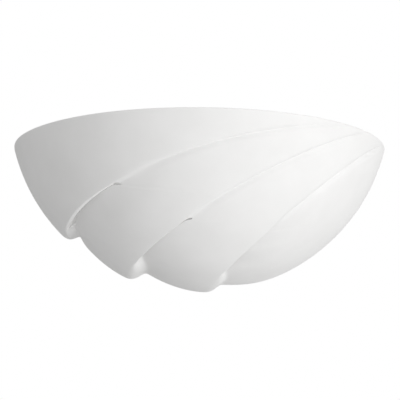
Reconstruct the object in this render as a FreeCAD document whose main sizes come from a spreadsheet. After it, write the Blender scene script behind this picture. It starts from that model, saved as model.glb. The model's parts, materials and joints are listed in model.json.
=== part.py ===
import FreeCAD, Part
import math
import os
import re

import Sketcher
from FreeCAD import Placement, Rotation, Vector

# Shell wall sconce: an uplighter bowl of unglazed ceramic, shaped as four overlapping lobes,
# on a steel wall plate that also carries a tilted E27 lampholder and its lamp.
# Frame: +X right, +Y into the wall, +Z up. The wall is the plane y = 0, and the origin is the
# middle of the wall-fixing hole pattern. All lengths are millimetres and all angles degrees.

os.makedirs("parts", exist_ok=True)
doc = FreeCAD.newDocument("wall_sconce")

# ---------------------------------------------------------------- driving dimensions

SIZES = {
    # bowl
    "shell_width": (360, "outside width at the rim"),
    "shell_height": (139, "rim to lowest point"),
    "wall_thickness": (5, "ceramic wall"),
    "rim_height": (60, "rim above the fixing centre"),
    "panel_setback": (10, "wall to the back of the ceramic panel"),
    "panel_thickness": (6, "ceramic back panel"),
    "ledge_thickness": (8, "ledge closing the recess at the rim"),
    "aperture_width": (100, "opening in the panel for plate and wiring"),
    "aperture_height": (76, "height of that opening"),
    "aperture_drop": (2, "its middle below the fixing centre"),
    "shell_hole_radius": (3, "clearance holes for the studs"),
    # upper crease; every angle named tilt is measured about the rim's back edge
    "upper_fan": (15.6, "slope of the crease plane seen from the front"),
    "upper_lean": (-7.0, "lean of that plane out of square with the wall"),
    "upper_foot": (42.8, "where the crease meets the wall, from straight down"),
    "upper_step": (10, "step between the lobes along the slot"),
    "upper_foot_step": (10.5, "step between the lobes at the wall"),
    "upper_foot_width": (5, "width of the step at the wall"),
    "upper_fade": (11, "tilt at which the step begins"),
    "upper_full": (44, "tilt at which the step is whole"),
    "upper_slot_tip": (24.5, "tilt of the slot's upper end"),
    "upper_slot_end": (67, "tilt of the slot's lower end"),
    # middle crease
    "middle_fan": (28.7, "slope of the crease plane seen from the front"),
    "middle_lean": (-2.6, "lean of that plane out of square with the wall"),
    "middle_foot": (20.6, "where the crease meets the wall, from straight down"),
    "middle_step": (10, "step between the lobes along the slot"),
    "middle_foot_step": (12, "step between the lobes at the wall"),
    "middle_foot_width": (12, "width of the step at the wall"),
    "middle_fade": (25, "tilt at which the step begins"),
    "middle_full": (60, "tilt at which the step is whole"),
    "middle_slot_tip": (36, "tilt of the slot's upper end"),
    "middle_slot_end": (66, "tilt of the slot's lower end"),
    # lower crease
    "lower_fan": (39.9, "slope of the crease plane seen from the front"),
    "lower_lean": (1.6, "lean of that plane out of square with the wall"),
    "lower_foot": (-3.0, "where the crease meets the wall, from straight down"),
    "lower_step": (9, "step between the lobes along the slot"),
    "lower_foot_step": (6.5, "step between the lobes at the wall"),
    "lower_foot_width": (13, "width of the step at the wall"),
    "lower_fade": (34, "tilt at which the step begins"),
    "lower_full": (68, "tilt at which the step is whole"),
    "lower_slot_tip": (45, "tilt of the slot's upper end"),
    "lower_slot_end": (68, "tilt of the slot's lower end"),
    # all creases
    "lip_width": (2.5, "width of a step beside its slot"),
    "band_width": (9, "width of a step above its slot"),
    "band_run": (14, "tilt over which the step widens above the slot"),
    "foot_run": (18, "tilt over which the step widens below the slot"),
    "shoulder_width": (6, "smooth surface beside a step"),
    "crisp_rounding": (1, "rounding of a narrow step's edges"),
    "soft_rounding": (2.5, "rounding of a wide step's edges"),
    "groove_depth": (1.8, "groove that carries each crease on to the rim"),
    "groove_half_width": (3, "half the width of that groove"),
    "groove_fade": (12, "depth below the rim over which a groove fades"),
    "slot_edge": (0.6, "wall left above and below a light slot"),
    # wall plate
    "plate_width": (144, "wall plate"),
    "plate_height": (60, "wall plate"),
    "plate_thickness": (1.5, "wall plate"),
    "plate_corner": (8, "cut corners of the wall plate"),
    "fixing_spacing": (72, "between the two wall-fixing slots"),
    "fixing_slot_length": (12, "overall length of a slot"),
    "fixing_slot_radius": (2.6, "for a 5 mm wall screw"),
    "stud_spacing": (124, "between the two shell studs"),
    "stud_radius": (2, "M4"),
    "stud_length": (30, "from the wall side of the plate"),
    "stud_head_radius": (4, "pressed collar in front of the plate"),
    "stud_head_height": (1.5, "pressed collar in front of the plate"),
    # fixings of the shell
    "washer_radius": (7, "silicone washer under each knurled nut"),
    "washer_thickness": (1.5, "silicone washer"),
    "nut_radius": (6, "knurled nut"),
    "nut_height": (9, "knurled nut"),
    "nut_collar_radius": (4.5, "plain collar of the knurled nut"),
    "nut_collar_height": (2, "plain collar of the knurled nut"),
    "knurl_count": (24, "grooves round the nut"),
    "knurl_radius": (0.6, "one groove"),
    "running_fit": (0.05, "radial clearance of thread and bore"),
    "part_gap": (0.3, "gap to the pieces that move"),
    # lamp arm and lampholder
    "arm_width": (24, "folded steel strip"),
    "arm_thickness": (1.5, "folded steel strip"),
    "arm_top": (8, "top of the arm's foot"),
    "arm_bend": (-13, "height of the fold"),
    "arm_length": (63, "length of the sloping part"),
    "rivet_radius": (2, "arm rivets"),
    "rivet_head_radius": (3.75, "arm rivets"),
    "rivet_head_height": (1.4, "arm rivets"),
    "rivet_spacing": (13, "between the two rivets"),
    "rivet_height": (-3, "the rivets above the fixing centre"),
    "lamp_tilt": (48, "lamp axis from the vertical"),
    "seat_reach": (42, "fold to lamp axis along the arm"),
    "nipple_radius": (5, "hollow M10 nipple"),
    "nipple_bore": (3.5, "hollow M10 nipple"),
    "nipple_tail": (7, "nipple behind the lampholder's seat"),
    "nipple_head": (5, "nipple inside the lampholder"),
    "locknut_radius": (8.1, "hexagon locknut, across corners / 2"),
    "locknut_height": (3, "hexagon locknut"),
    "cap_radius": (19, "rear cap of the lampholder"),
    "cap_height": (15, "rear cap of the lampholder"),
    "cap_wall": (2, "moulded wall"),
    "entry_radius": (4, "wire entry in the rear cap"),
    "cap_chamfer": (5, "sloping shoulder of the rear cap"),
    "cap_shoulder": (8, "top of that shoulder above the seat"),
    "skirt_radius": (20, "lampholder skirt"),
    "skirt_top": (46, "top of the skirt above the seat"),
    "skirt_bore": (15.8, "bore of the skirt"),
    "skirt_flare": (3, "height over which the cap widens into the skirt"),
    "skirt_rim": (5, "height of the narrower rim of the skirt"),
    "skirt_rim_step": (1.5, "how much narrower that rim is"),
    "socket_radius": (13.35, "inside of the brass screw shell"),
    "socket_wall": (0.5, "brass screw shell"),
    "socket_floor_bore": (9, "hole in the floor of the screw shell"),
    "socket_drop": (2, "end of the screw shell below the skirt's top"),
    "core_radius": (15.6, "porcelain core"),
    "core_bottom": (11, "porcelain core above the seat"),
    "core_top": (15, "porcelain core above the seat"),
    "terminal_height": (3, "wire terminals below the porcelain core"),
    "terminal_radius": (2.75, "head of a wire terminal"),
    "terminal_x": (5, "wire terminals from the lamp axis, sideways"),
    "terminal_y": (7, "wire terminals from the lamp axis, towards the wall"),
    "contact_gap": (0.3, "sprung contact to lamp tip"),
    "tongue_width": (5, "sprung brass tongue"),
    "tongue_thickness": (0.5, "sprung brass tongue"),
    "tongue_slope_shift": (0.3, "sideways shift that keeps its slope as thick"),
    "tongue_start": (-7, "fixed end of the tongue"),
    "tongue_bend": (3, "its two bends, either side of the lamp axis"),
    "tongue_end": (6, "free end of the tongue"),
    # lamp
    "lamp_tip": (18.5, "lamp tip above the seat"),
    "tip_radius": (5, "contact disc at the lamp's tip"),
    "tip_thickness": (1.5, "contact disc at the lamp's tip"),
    "insulator_radius": (5.5, "narrow end of the black insulator"),
    "lamp_screw_radius": (13.05, "E27 screw cap"),
    "lamp_screw_bottom": (22.5, "E27 screw cap above the seat"),
    "lamp_screw_top": (47, "E27 screw cap above the seat"),
    "screw_chamfer": (2, "narrower end of the screw cap"),
    "thread_depth": (0.75, "rolled thread of the screw cap"),
    "thread_start": (1, "first ridge above the end of the screw cap"),
    "thread_end": (3, "plain band above the last ridge"),
    "thread_turns": (5, "ridges of the screw cap"),
    "lamp_neck": (49, "plastic neck above the seat"),
    "lamp_joint": (87, "joint of neck and globe above the seat"),
    "globe_middle": (97, "middle of the globe above the seat"),
    "globe_radius": (30, "A60 globe"),
    "globe_wall": (1, "A60 globe"),
    "neck_wall": (2, "plastic neck"),
    "neck_flare": (1.2, "foot of the neck outside the screw cap"),
    "board_drop": (5, "underside of the LED board below the joint"),
    "board_radius": (24, "LED board"),
    "board_thickness": (1.6, "circuit boards"),
    "driver_width": (18, "driver board"),
    "driver_gap": (0.5, "driver board above the floor of the neck"),
    "chip_count": (12, "light-emitting chips"),
    "chip_length": (2.8, "one chip, along the board's radius"),
    "chip_width": (3.5, "one chip"),
    "chip_height": (0.8, "one chip"),
    "chip_ring": (15.6, "inner ends of the chips from the middle"),
    # wiring
    "wire_radius": (1.1, "silicone insulated wire"),
    "wire_bend": (6, "bend radius of the lamp wires"),
    "wire_depth": (6, "wire end inside the terminal block"),
    "wire_drop": (8, "lamp wires run straight below the block"),
    "wire_rise": (9, "lamp wires run straight above the cap"),
    "wire_aside": (2.6, "lamp wires from the lamp axis, sideways"),
    "wire_reach": (8, "inner ends of the lamp wires from the lamp axis"),
    "earth_bend": (4, "bend radius of the earth wire"),
    "earth_drop": (6, "earth wire runs straight below the block"),
    "earth_rise": (4, "earth wire runs straight above the barrel"),
    "earth_depth": (5, "earth wire inside the barrel"),
    "block_width": (31, "three-way terminal block"),
    "block_height": (15, "terminal block, along the wires"),
    "block_depth": (13, "terminal block off the plate"),
    "block_x": (17, "middle of the terminal block"),
    "block_z": (20, "middle of the terminal block"),
    "way_pitch": (9, "between the ways of the block"),
    "way_radius": (2.4, "brass tube of one way"),
    "way_bore": (1.5, "bore of the brass tube"),
    "way_inset": (0.5, "ends of the brass tubes inside the block"),
    "way_screw_radius": (1.4, "clamping screws"),
    "way_screw_length": (4, "clamping screws"),
    "way_screw_offset": (4, "clamping screws from the block's middle"),
    "block_screw_radius": (1.5, "screw that holds the block"),
    "block_screw_head": (2.5, "radius of its head"),
    "block_screw_rise": (1.5, "height of its head"),
    "bushing_x": (-22, "cable bushing"),
    "bushing_z": (14, "cable bushing"),
    "bushing_radius": (7, "hole for the cable bushing"),
    "bushing_bore": (4.5, "cable entry"),
    "bushing_flange": (9, "flange radius"),
    "bushing_wall": (1.5, "rubber of the flange and the nozzle"),
    "bushing_depth": (6, "length of the cable entry"),
    "earth_x": (25, "earth stud"),
    "earth_z": (-18, "earth stud"),
    "earth_length": (12, "earth screw"),
    "earth_nut_radius": (4, "M4 hexagon nut, across corners / 2"),
    "earth_nut_height": (3.2, "M4 hexagon nut"),
    "tag_radius": (4.2, "ring tag"),
    "tag_thickness": (0.8, "ring tag"),
    "tag_neck": (2, "neck between ring and barrel"),
    "tag_neck_width": (3, "neck between ring and barrel"),
    "tag_barrel_radius": (1.9, "crimp barrel of the ring tag"),
    "tag_barrel_length": (7, "crimp barrel of the ring tag"),
}

sheet = doc.addObject("Spreadsheet::Sheet", "sizes")
for row, (alias, (value, note)) in enumerate(SIZES.items(), start=1):
    sheet.set("A%d" % row, note)
    sheet.set("B%d" % row, str(value))
    sheet.setAlias("B%d" % row, alias)
doc.recompute()


def formula(text):
    """Put the sheet's name before every alias in a formula."""
    return re.sub(r"[a-z]+(_[a-z]+)+", lambda word: "sizes." + word.group(0), str(text))


def size(text):
    """Value of a formula of the sheet's aliases."""
    return float(sheet.evalExpression(formula(text)))


# ---------------------------------------------------------------- sketch and body helpers


def new_body(name):
    body = doc.addObject("PartDesign::Body", name)
    body.Label = name
    return body


def new_sketch(body, role, name):
    """Sketch on one of the body's own origin planes."""
    sketch = body.newObject("Sketcher::SketchObject", name)
    plane = next(item for item in body.Origin.OriginFeatures if item.Role == role)
    sketch.AttachmentSupport = [(plane, "")]
    sketch.MapMode = "FlatFace"
    return sketch


def fix_point(sketch, curve, end, across, up):
    """Dimension a point of a curve from the sketch's origin by two formulas."""
    for kind, axis, text in (("DistanceX", -2, across), ("DistanceY", -1, up)):
        value = size(text)
        if abs(value) < 1e-9:
            sketch.addConstraint(Sketcher.Constraint("PointOnObject", curve, end, axis))
            continue
        number = sketch.addConstraint(Sketcher.Constraint(kind, -1, 1, curve, end, value))
        sketch.setExpression("Constraints[%d]" % number, formula(text))


def draw_outline(sketch, corners):
    """Closed outline of straight lines through corners given as pairs of formulas."""
    spots = [Vector(size(across), size(up), 0) for across, up in corners]
    first = sketch.GeometryCount
    count = len(spots)
    for number in range(count):
        following = (number + 1) % count
        sketch.addGeometry(Part.LineSegment(spots[number], spots[following]), False)
    for number in range(count):
        following = (number + 1) % count
        joint = Sketcher.Constraint("Coincident", first + number, 2, first + following, 1)
        sketch.addConstraint(joint)
    for number, (across, up) in enumerate(corners):
        fix_point(sketch, first + number, 1, across, up)


def draw_circle(sketch, across, up, radius):
    middle = Vector(size(across), size(up), 0)
    curve = sketch.addGeometry(Part.Circle(middle, Vector(0, 0, 1), size(radius)), False)
    fix_point(sketch, curve, 3, across, up)
    number = sketch.addConstraint(Sketcher.Constraint("Radius", curve, size(radius)))
    sketch.setExpression("Constraints[%d]" % number, formula(radius))


def draw_slot(sketch, across, up, length, radius):
    """Rounded slot along the sketch's horizontal axis; its length is overall."""
    reach = "(%s) / 2 - (%s)" % (length, radius)
    middle_x, middle_y, half, arc_radius = size(across), size(up), size(reach), size(radius)
    arcs = []
    for side, start in ((1, -math.pi / 2), (-1, math.pi / 2)):
        middle = Vector(middle_x + side * half, middle_y, 0)
        circle = Part.Circle(middle, Vector(0, 0, 1), arc_radius)
        arcs.append(sketch.addGeometry(Part.ArcOfCircle(circle, start, start + math.pi), False))
        fix_point(sketch, arcs[-1], 3, "(%s) + %d * (%s)" % (across, side, reach), up)
    right, left = arcs
    lines = []
    for side, start_arc, end_arc in ((1, right, left), (-1, left, right)):
        level = middle_y + side * arc_radius
        start = Vector(middle_x + side * half, level, 0)
        end = Vector(middle_x - side * half, level, 0)
        line = sketch.addGeometry(Part.LineSegment(start, end), False)
        sketch.addConstraint(Sketcher.Constraint("Tangent", start_arc, 2, line, 1))
        sketch.addConstraint(Sketcher.Constraint("Tangent", line, 2, end_arc, 1))
        lines.append(line)
    number = sketch.addConstraint(Sketcher.Constraint("Radius", right, arc_radius))
    sketch.setExpression("Constraints[%d]" % number, formula(radius))


def turned_body(name, corners, place=Placement()):
    """Body of revolution about its own Z axis; corners are (radius, height) formulas."""
    body = new_body(name)
    sketch = new_sketch(body, "XZ_Plane", name + "_profile")
    draw_outline(sketch, corners)
    turn = body.newObject("PartDesign::Revolution", name + "_turn")
    turn.Profile = sketch
    turn.ReferenceAxis = (sketch, ["V_Axis"])
    turn.Angle = 360
    sketch.Visibility = False
    body.Placement = place
    return body


def pad(body, sketch, length, reversed_side=False, symmetric=False):
    """Pad whose length is a formula; the sketch's normal is its direction."""
    feature = body.newObject("PartDesign::Pad", sketch.Name + "_pad")
    feature.Profile = sketch
    feature.setExpression("Length", formula(length))
    feature.Reversed = reversed_side
    if symmetric:
        feature.SideType = "Symmetric"
    sketch.Visibility = False
    return feature


def pocket(body, sketch, length, reversed_side=False, symmetric=False):
    """Pocket whose depth is a formula."""
    feature = body.newObject("PartDesign::Pocket", sketch.Name + "_cut")
    feature.Profile = sketch
    feature.setExpression("Length", formula(length))
    feature.Reversed = reversed_side
    if symmetric:
        feature.SideType = "Symmetric"
    sketch.Visibility = False
    return feature


def shaped(name, shape, place=None):
    """Part::Feature that holds a shape made by formula."""
    item = doc.addObject("Part::Feature", name)
    item.Label = name
    item.Shape = shape
    if place is not None:
        item.Placement = place
    return item


def stepped_pins(name, spots, steps, turn):
    """Alike turned pins as one node of separate solids.

    spots are the pins' feet; steps are (radius, start, length) formulas along each pin.
    """
    pins = []
    for number, spot in enumerate(spots, start=1):
        stages = []
        for radius, start, length in steps:
            stage = doc.addObject("Part::Cylinder", "%s_%d_stage" % (name, number))
            stage.setExpression("Radius", formula(radius))
            stage.setExpression("Height", formula(length))
            foot = spot + turn.multVec(Vector(0, 0, size(start)))
            stage.Placement = Placement(foot, turn)
            stages.append(stage)
        if len(stages) == 1:
            pins.append(stages[0])
            continue
        fused = doc.addObject("Part::MultiFuse", "%s_%d" % (name, number))
        fused.Shapes = stages
        pins.append(fused)
    group = doc.addObject("Part::Compound", name)
    group.Label = name
    group.Links = pins
    return group


def tube_solid(points, radius, bend):
    """Round wire along straight runs joined by tangent arcs."""
    pieces = []
    start = points[0]
    for before, corner, after in zip(points, points[1:], points[2:]):
        inward = (before - corner).normalize()
        outward = (after - corner).normalize()
        half_turn = (math.pi - inward.getAngle(outward)) / 2
        setback = bend * math.tan(half_turn)
        arc_start = corner + inward * setback
        arc_end = corner + outward * setback
        middle = (inward + outward).normalize()
        arc_middle = corner + middle * (bend / math.cos(half_turn) - bend)
        pieces.append(Part.LineSegment(start, arc_start).toShape())
        pieces.append(Part.Arc(arc_start, arc_middle, arc_end).toShape())
        start = arc_end
    pieces.append(Part.LineSegment(start, points[-1]).toShape())
    path = Part.Wire(pieces)
    direction = points[1] - points[0]
    ring = Part.Wire([Part.makeCircle(radius, points[0], direction)])
    solid = path.makePipeShell([ring], True, False)
    expected = path.Length * math.pi * radius ** 2
    if abs(solid.Volume / expected - 1) > VOLUME_TOLERANCE:
        raise RuntimeError("wire volume is off")
    return solid


CUT_MARGIN = 1
VOLUME_TOLERANCE = 0.01
OUTWARD = Rotation(Vector(1, 0, 0), 90)
LAMP_TURN = Rotation(Vector(1, 0, 0), size("lamp_tilt"))

# ---------------------------------------------------------------- ceramic shell
# The bowl is a ball centred in the wall plane above the rim. A point on it is found from its
# distance x off the middle and its tilt: the angle of the half-plane through the rim's back
# edge, 0 in the rim plane and 90 degrees in the wall plane. Three creases, each cut by a
# plane, part it into four lobes that overlap like roof tiles. Below a crease the surface
# drops by a step, and it rises again to the plain ball at the next crease.

HALF_WIDTH = size("shell_width / 2")
RIM_HEIGHT = size("rim_height")
BALL_RADIUS = (HALF_WIDTH ** 2 + size("shell_height") ** 2) / (2 * size("shell_height"))
BALL_RISE = BALL_RADIUS - size("shell_height")
BALL_MIDDLE = Vector(0, 0, RIM_HEIGHT + BALL_RISE)
RIM_MIDDLE = Vector(0, 0, RIM_HEIGHT)
THICKNESS = size("wall_thickness")
LIP_WIDTH = size("lip_width")
SHOULDER = size("shoulder_width")
SKIN_ROWS = 26
NET_PASSES = 4
CORNER_EASE = 8
COLUMN_COUNTS = (11, 5, 5, 11)
ROOT_SPOT = 4
SOFT_RUN = 4
LAST_LIP = 0.985
LAST_FALL = 0.3
LIP_SPACING = 4
LEAST_SPREAD = 0.3
ROOM_BEFORE = 0.4
ROOM_AFTER = 0.45
FALL_POWER = 1.5
HALVINGS = 40
SLOT_SECTIONS = 9
FLAT_SLOT = 0.8 * THICKNESS
STEEP_SLOT = 1.6


def smooth(value):
    """Smooth step from 0 to 1."""
    value = min(max(value, 0), 1)
    return value * value * (3 - 2 * value)


def mix(low, high, share):
    return low + (high - low) * share


class Crease:
    """A crease of the bowl, where an upper lobe stands proud of the next one."""

    def __init__(self, name):
        fan = math.radians(size(name + "_fan"))
        lean = math.radians(size(name + "_lean"))
        foot = math.radians(size(name + "_foot"))
        self.normal = Vector(
            math.sin(fan) * math.cos(lean),
            math.sin(lean),
            -math.cos(fan) * math.cos(lean),
        )
        self.reach = self.normal.dot(Vector(-math.sin(foot), 0, -math.cos(foot))) * BALL_RADIUS
        self.full_step = size(name + "_step")
        self.foot_step = size(name + "_foot_step")
        self.foot_width = size(name + "_foot_width")
        self.fade = size(name + "_fade")
        self.full = size(name + "_full")
        self.slot = (size(name + "_slot_tip"), size(name + "_slot_end"))

    def distance(self, point, radius):
        """Distance along a ball of this radius from the crease; positive on the lower lobe."""
        direction = (point - BALL_MIDDLE) * (1 / radius)
        return radius * (
            math.asin(direction.dot(self.normal)) - math.asin(self.reach / radius)
        )

    def step(self, tilt):
        """Height of the step at this tilt."""
        foot_share = smooth((tilt - self.slot[1]) / size("foot_run") + 0.5)
        height = mix(self.full_step, self.foot_step, foot_share)
        return height * smooth((tilt - self.fade) / (self.full - self.fade))

    def width(self, tilt):
        """Width of the step: narrow beside the slot, wide and soft above and below it."""
        tip, end = self.slot
        above = (size("band_width") - LIP_WIDTH) * smooth((tip + 1 - tilt) / size("band_run"))
        below = (self.foot_width - LIP_WIDTH) * smooth((tilt - end + 3) / size("foot_run"))
        return LIP_WIDTH + above + below


CREASES = [Crease(name) for name in ("upper", "middle", "lower")]


def ball_point(across, tilt, radius):
    """Point of the ball at this distance off the middle and this tilt."""
    angle = math.radians(tilt)
    sine, cosine = math.sin(angle), math.cos(angle)
    squared = radius ** 2 - across ** 2 - (BALL_RISE * cosine) ** 2
    reach = math.sqrt(max(squared, 0)) - BALL_RISE * sine
    return Vector(across, -reach * cosine, RIM_HEIGHT - reach * sine)


def column_at(crease, tilt, radius, distance):
    """Distance off the middle of the point this far below a crease, at one tilt."""
    low = -math.sqrt(radius ** 2 - BALL_RISE ** 2)
    high = -low
    for _ in range(HALVINGS):
        middle = (low + high) / 2
        if crease.distance(ball_point(middle, tilt, radius), radius) > distance:
            high = middle
        else:
            low = middle
    return low


def crease_profile(crease, tilt, depth):
    """Places across a crease with their share of the step's drop and their groove depth.

    The three point lists are the half sections of a crisp step, a soft step and a groove.
    depth is 0 for the outer skin and the wall's thickness for the inner one, whose steps lie
    further back under the lips and which has no groove.
    """
    step, width = crease.step(tilt), crease.width(tilt)
    raised = smooth(step / LIP_WIDTH)
    groove = 0 if depth else size("groove_depth") * (1 - raised)
    half = size("groove_half_width")
    back = depth * math.tan(math.atan2(step, width) / 2)
    near, far = size("crisp_rounding"), size("soft_rounding")
    crisp = [(-SHOULDER, 0), (-near, 0), (0, 0.08), (width / 2, 0.5), (width, 0.94)]
    crisp += [(width + near, 1), (width + SHOULDER, 1)]
    soft = [(-SHOULDER, 0), (-far, 0.04), (0.12 * width, 0.2), (width / 2, 0.5)]
    soft += [(0.88 * width, 0.8), (width + far, 0.97), (width + SHOULDER, 1)]
    hollow = [(-SHOULDER, 0), (-half, 0.1), (-0.4 * half, 0.5), (0, 1)]
    hollow += [(0.4 * half, 0.5), (half, 0.1), (SHOULDER, 0)]
    softness = smooth((width - LIP_WIDTH) / SOFT_RUN)
    profile = []
    for hard, gentle, low in zip(crisp, soft, hollow):
        place = mix(hard[0], gentle[0], softness)
        share = mix(hard[1], gentle[1], softness)
        profile.append((mix(low[0], place, raised) - back, share, groove * low[1]))
    return profile


def lip_columns(tilt, radius, edge):
    """Distance off the middle of each crease's lip, kept in order near the bowl's corner."""
    lips, most = [], LAST_LIP * edge
    for crease in reversed(CREASES):
        lips.insert(0, min(column_at(crease, tilt, radius, 0), most))
        most = lips[0] - LIP_SPACING
    return lips


def skin_row(tilt, depth):
    """Columns of a skin at one tilt, as pairs of distance off the middle and drop."""
    radius = BALL_RADIUS - depth
    edge = math.sqrt(radius ** 2 - BALL_RISE ** 2)
    lips = lip_columns(tilt, radius, edge)
    limits = [-edge] + lips + [edge]
    columns = [(-edge, 0)]
    fall = None
    for number, crease in enumerate(CREASES):
        lip = lips[number]
        profile = crease_profile(crease, tilt, depth)
        true_lip = column_at(crease, tilt, radius, 0)
        before, after = lip - limits[number], limits[number + 2] - lip
        spots = []
        for place, _, _ in profile:
            away = column_at(crease, tilt, radius, place) - true_lip
            if place < 0:
                spots.append(lip + max(away, ROOM_BEFORE * before * place / -profile[0][0]))
            else:
                away = max(away, LEAST_SPREAD * place)
                spots.append(lip + min(away, ROOM_AFTER * after * place / profile[-1][0]))
        shrink = min(1, ROOM_BEFORE * before / SHOULDER, ROOM_AFTER * after / SHOULDER)
        step = shrink * crease.step(tilt)
        columns += between(columns[-1][0], spots[0], edge, COLUMN_COUNTS[number], fall)
        columns.append((spots[0], lobe_drop(spots[0], fall)))
        root = spots[ROOT_SPOT]
        last = number == len(CREASES) - 1
        end = root + LAST_FALL * after if last else limits[number + 2]
        next_fall = (root, end, step)
        for spot, (_, share, groove) in list(zip(spots, profile))[1:]:
            if spot > root:
                drop = lobe_drop(spot, next_fall)
            elif spot < lip:
                drop = lobe_drop(spot, fall) + step * share
            else:
                drop = step * share
            columns.append((spot, drop + shrink * groove))
        fall = next_fall
    columns += between(columns[-1][0], edge, edge, COLUMN_COUNTS[-1], fall)
    columns.append((edge, 0))
    return columns


def between(start, end, edge, count, fall):
    """Columns spaced evenly by angle between two distances off the middle."""
    first, last = math.asin(max(start / edge, -1)), math.asin(min(end / edge, 1))
    columns = []
    for number in range(1, count + 1):
        across = edge * math.sin(mix(first, last, number / (count + 1)))
        columns.append((across, lobe_drop(across, fall)))
    return columns


def lobe_drop(across, fall):
    """Drop of a lobe below the plain ball, falling away from its root to the next crease."""
    if fall is None:
        return 0
    root, end, step = fall
    left = 1 - (across - root) / (end - root)
    return step * min(max(left, 0), 1) ** FALL_POWER


def knots(count):
    """Clamped even knots, their multiplicities and each pole's own parameter."""
    spans = count - 3
    values = list(range(spans + 1))
    full = [0, 0, 0] + values + [spans, spans, spans]
    own = [sum(full[number + 1:number + 4]) / 3 for number in range(count)]
    return values, [4] + [1] * (spans - 1) + [4], own


def spline_skin(net):
    """Smooth surface steered by a net of poles."""
    row_knots, row_mults, _ = knots(len(net))
    column_knots, column_mults, _ = knots(len(net[0]))
    surface = Part.BSplineSurface()
    surface.buildFromPolesMultsKnots(
        net, row_mults, column_mults, row_knots, column_knots, False, False, 3, 3
    )
    return surface


def raised_net(net, radius):
    """Poles moved out until the surface that they steer lies on the ball.

    Near the corners, where the poles are close together, they stay where they are.
    """
    edge = net[0][-1].x
    _, _, row_spots = knots(len(net))
    _, _, column_spots = knots(len(net[0]))
    poles = [list(row) for row in net]
    for _ in range(NET_PASSES):
        surface = spline_skin(poles)
        for i, row in enumerate(net):
            for j, point in enumerate(row):
                place = surface.value(row_spots[i], column_spots[j])
                sag = radius - (place - BALL_MIDDLE).Length
                sag *= smooth((edge - abs(point.x)) / CORNER_EASE)
                poles[i][j] += (point - RIM_MIDDLE).normalize() * sag
    return poles


def skin_solid(depth):
    """Solid bounded by one skin, the rim plane and the wall plane."""
    radius = BALL_RADIUS - depth
    edge = math.sqrt(radius ** 2 - BALL_RISE ** 2)
    _, _, row_spots = knots(SKIN_ROWS)
    tilts = [90 * spot / row_spots[-1] for spot in row_spots]
    rows = [skin_row(tilt, depth) for tilt in tilts]
    ball = [[ball_point(across, tilt, radius) for across, _ in row] for tilt, row in zip(tilts, rows)]
    net = raised_net(ball, radius)
    for i, row in enumerate(rows):
        for j, (_, drop) in enumerate(row):
            point = ball[i][j]
            drop *= smooth((RIM_HEIGHT - point.z) / size("groove_fade"))
            net[i][j] += (BALL_MIDDLE - point) * (drop / radius)
        net[i][0] = Vector(-edge, 0, RIM_HEIGHT)
        net[i][-1] = Vector(edge, 0, RIM_HEIGHT)
    surface = spline_skin(net)
    skin = surface.toShape()
    left, right = net[0][0], net[0][-1]
    back_edge = Part.LineSegment(left, right).toShape()
    faces = [skin]
    for border in skin.Edges:
        if border.Length > radius:
            faces.append(Part.Face(Part.Wire([border, back_edge])))
    shell = Part.makeShell(faces)
    shell.sewShape()
    solid = Part.Solid(Part.Shell(shell.Faces))
    if solid.Volume < 0:
        solid.reverse()
    return solid


def slot_cutter(crease):
    """Cutter of one light slot.

    Where the step is whole, the slot lies flat between the upper lobe's lip and the lower
    lobe. Towards its tip, where the step is low, it slants straight through the wall.
    """
    edge = size("slot_edge")
    tip, end = crease.slot
    reach_in, reach_out = 2 * THICKNESS, THICKNESS
    sections = []
    for number in range(SLOT_SECTIONS):
        tilt = mix(tip, end, number / (SLOT_SECTIONS - 1))
        across = column_at(crease, tilt, BALL_RADIUS, 0)
        outward = (ball_point(across, tilt, BALL_RADIUS) - BALL_MIDDLE).normalize()
        side = crease.normal - outward * crease.normal.dot(outward)
        side.normalize()
        step, width = crease.step(tilt), crease.width(tilt)
        flatness = smooth((step - edge) / FLAT_SLOT - 1)
        top, bottom = mix(edge, THICKNESS + edge, flatness), step - edge
        slant = STEEP_SLOT * (1 - flatness)
        corners = []
        for depth, reach in (
            (top, -reach_in),
            (top, reach_out),
            (bottom, reach_out),
            (bottom, -reach_in),
        ):
            angle = (width * depth / step + reach) / BALL_RADIUS
            direction = outward * math.cos(angle) + side * math.sin(angle)
            corners.append(BALL_MIDDLE + direction * (BALL_RADIUS + slant * reach - depth))
        sections.append(Part.makePolygon(corners + corners[:1]))
    return Part.makeLoft(sections, True, False)


def box_between(low, high):
    return Part.makeBox(high.x - low.x, high.y - low.y, high.z - low.z, low)


def make_shell():
    outside = skin_solid(0)
    inside = skin_solid(THICKNESS)
    wide = size("shell_width")
    panel_back = -size("panel_setback")
    panel_front = panel_back - size("panel_thickness")
    ledge = RIM_HEIGHT - size("ledge_thickness")
    panel = box_between(Vector(-wide, panel_front, -wide), Vector(wide, panel_back, wide))
    top = box_between(Vector(-wide, panel_back, ledge), Vector(wide, CUT_MARGIN, wide))
    hollow = inside.cut(panel.fuse(top))
    shell = outside.cut(hollow)
    half_width = size("aperture_width / 2")
    half_height = size("aperture_height / 2")
    drop = size("aperture_drop")
    aperture = box_between(
        Vector(-half_width, panel_front - CUT_MARGIN, -half_height - drop),
        Vector(half_width, panel_back + CUT_MARGIN, half_height - drop),
    )
    depth = size("panel_thickness") + 2 * CUT_MARGIN
    holes = []
    for side in (-1, 1):
        start = Vector(side * size("stud_spacing / 2"), panel_front - CUT_MARGIN, 0)
        hole = Part.makeCylinder(size("shell_hole_radius"), depth, start, Vector(0, 1, 0))
        holes.append(hole)
    shell = shell.cut([aperture] + holes)
    return shell.cut([slot_cutter(crease) for crease in CREASES])


shaped("shell", make_shell())

# ---------------------------------------------------------------- wall plate and its fixings


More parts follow.
